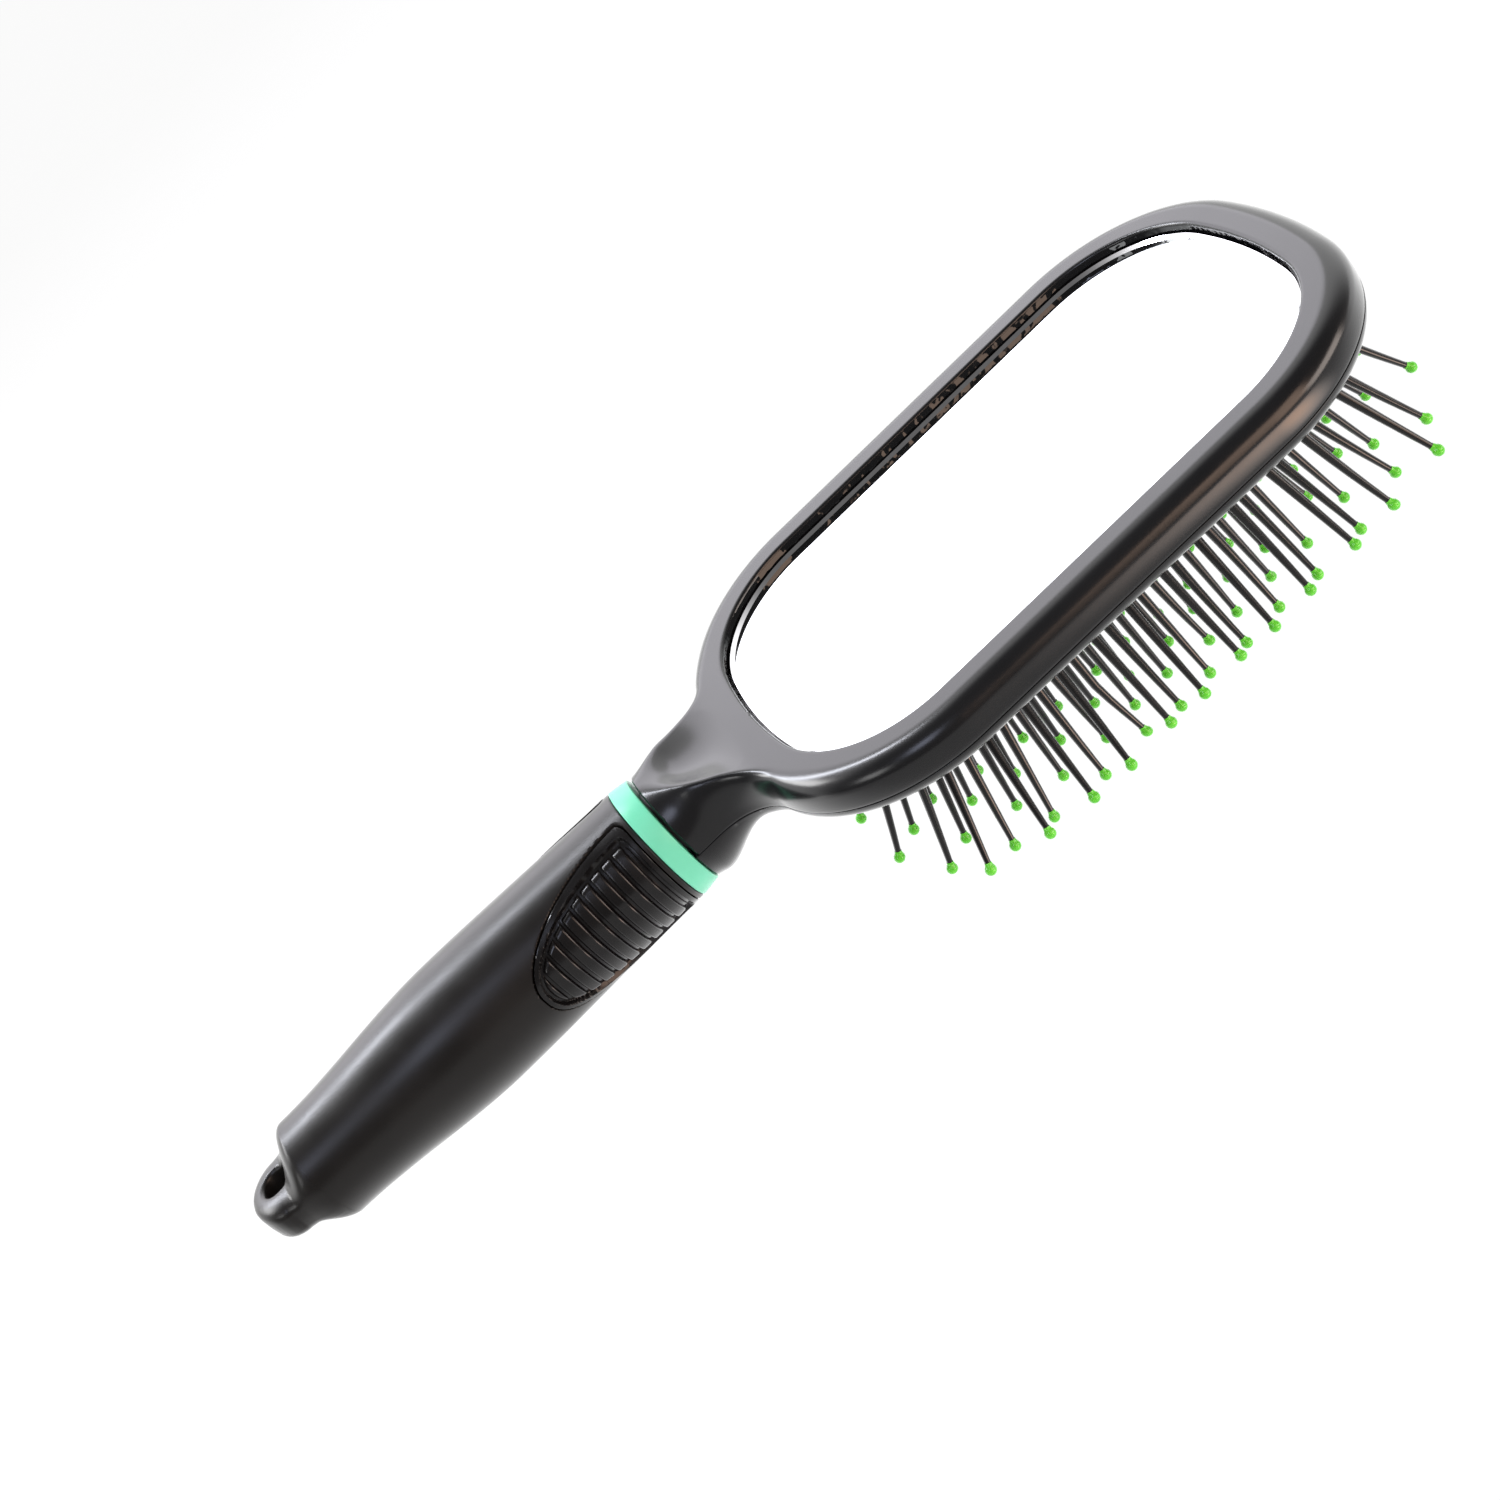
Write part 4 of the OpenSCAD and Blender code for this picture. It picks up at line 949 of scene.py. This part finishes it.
def cap_grid():
    """The cap as rays from the eye to its outline, over the top, round the edge, under and up through
    the eye. The outline is the rim's half round behind the eye and the tapering sides before it."""
    a = np.linspace(0, 2 * np.pi, CAP_STEPS, endpoint=False)
    ray = np.column_stack([np.cos(a), np.sin(a)])
    far = np.linspace(EYE_R, RAY_MOST, RAY_STEPS)
    px, py = EYE_X + far * ray[:, :1], far * ray[:, 1:]
    back = 1 - ((EYE_X - px) / EYE_RIM) ** 2
    width = np.where(px < EYE_X, cap_half_width(EYE_X) * np.sqrt(np.maximum(back, 0)), cap_half_width(px))
    inside = (np.abs(py) <= width) & (px <= CAP_FROM_X)
    rho = far[np.argmin(inside, axis=1) - 1][:, None]
    last = 1 - EDGE_SHARE * np.cos(np.linspace(0, np.pi / 2, 8))[1:]
    t = np.concatenate([[0, 0.04, 0.1], np.linspace(0.2, 1 - EDGE_SHARE, 12), last])
    d = EYE_R + (rho - EYE_R) * t
    x, y = EYE_X + d * ray[:, :1], d * ray[:, 1:]
    back = np.sqrt(np.maximum(1 - (np.maximum(EYE_X - x, 0) / EYE_RIM) ** 2, 0))
    width = np.maximum(np.where(x < EYE_X, cap_half_width(EYE_X) * back, cap_half_width(x)), 1e-6)
    flat = ease((CAP_FROM_X - x) / (CAP_FROM_X - EYE_X - 1.5))
    thick = TAIL_R + (EYE_T / 2 - TAIL_R) * flat
    power = 2 + BOXY * flat
    z = thick * np.maximum(1 - np.minimum(np.abs(y) / width, 1) ** power, 0) ** (1 / power)
    z = z * np.where(x < EYE_X, back**0.3, 1)
    z = z - EYE_DIP * np.maximum(1 - (d - EYE_R) / EYE_DIP_W, 0) ** 2
    z[:, -1] = np.where(x[:, -1] > CAP_FROM_X - 0.1, z[:, -1], 0)
    top = np.stack([x, y, AXIS_Z + z], -1)
    bottom = np.stack([x, y, AXIS_Z - z], -1)[:, ::-1]
    return np.concatenate([top, bottom, top[:, :1]], axis=1)


solid("end_cap_moulding", [cap_grid()], [satin_pp], "brush_body", ["end_cap"], closed=True)
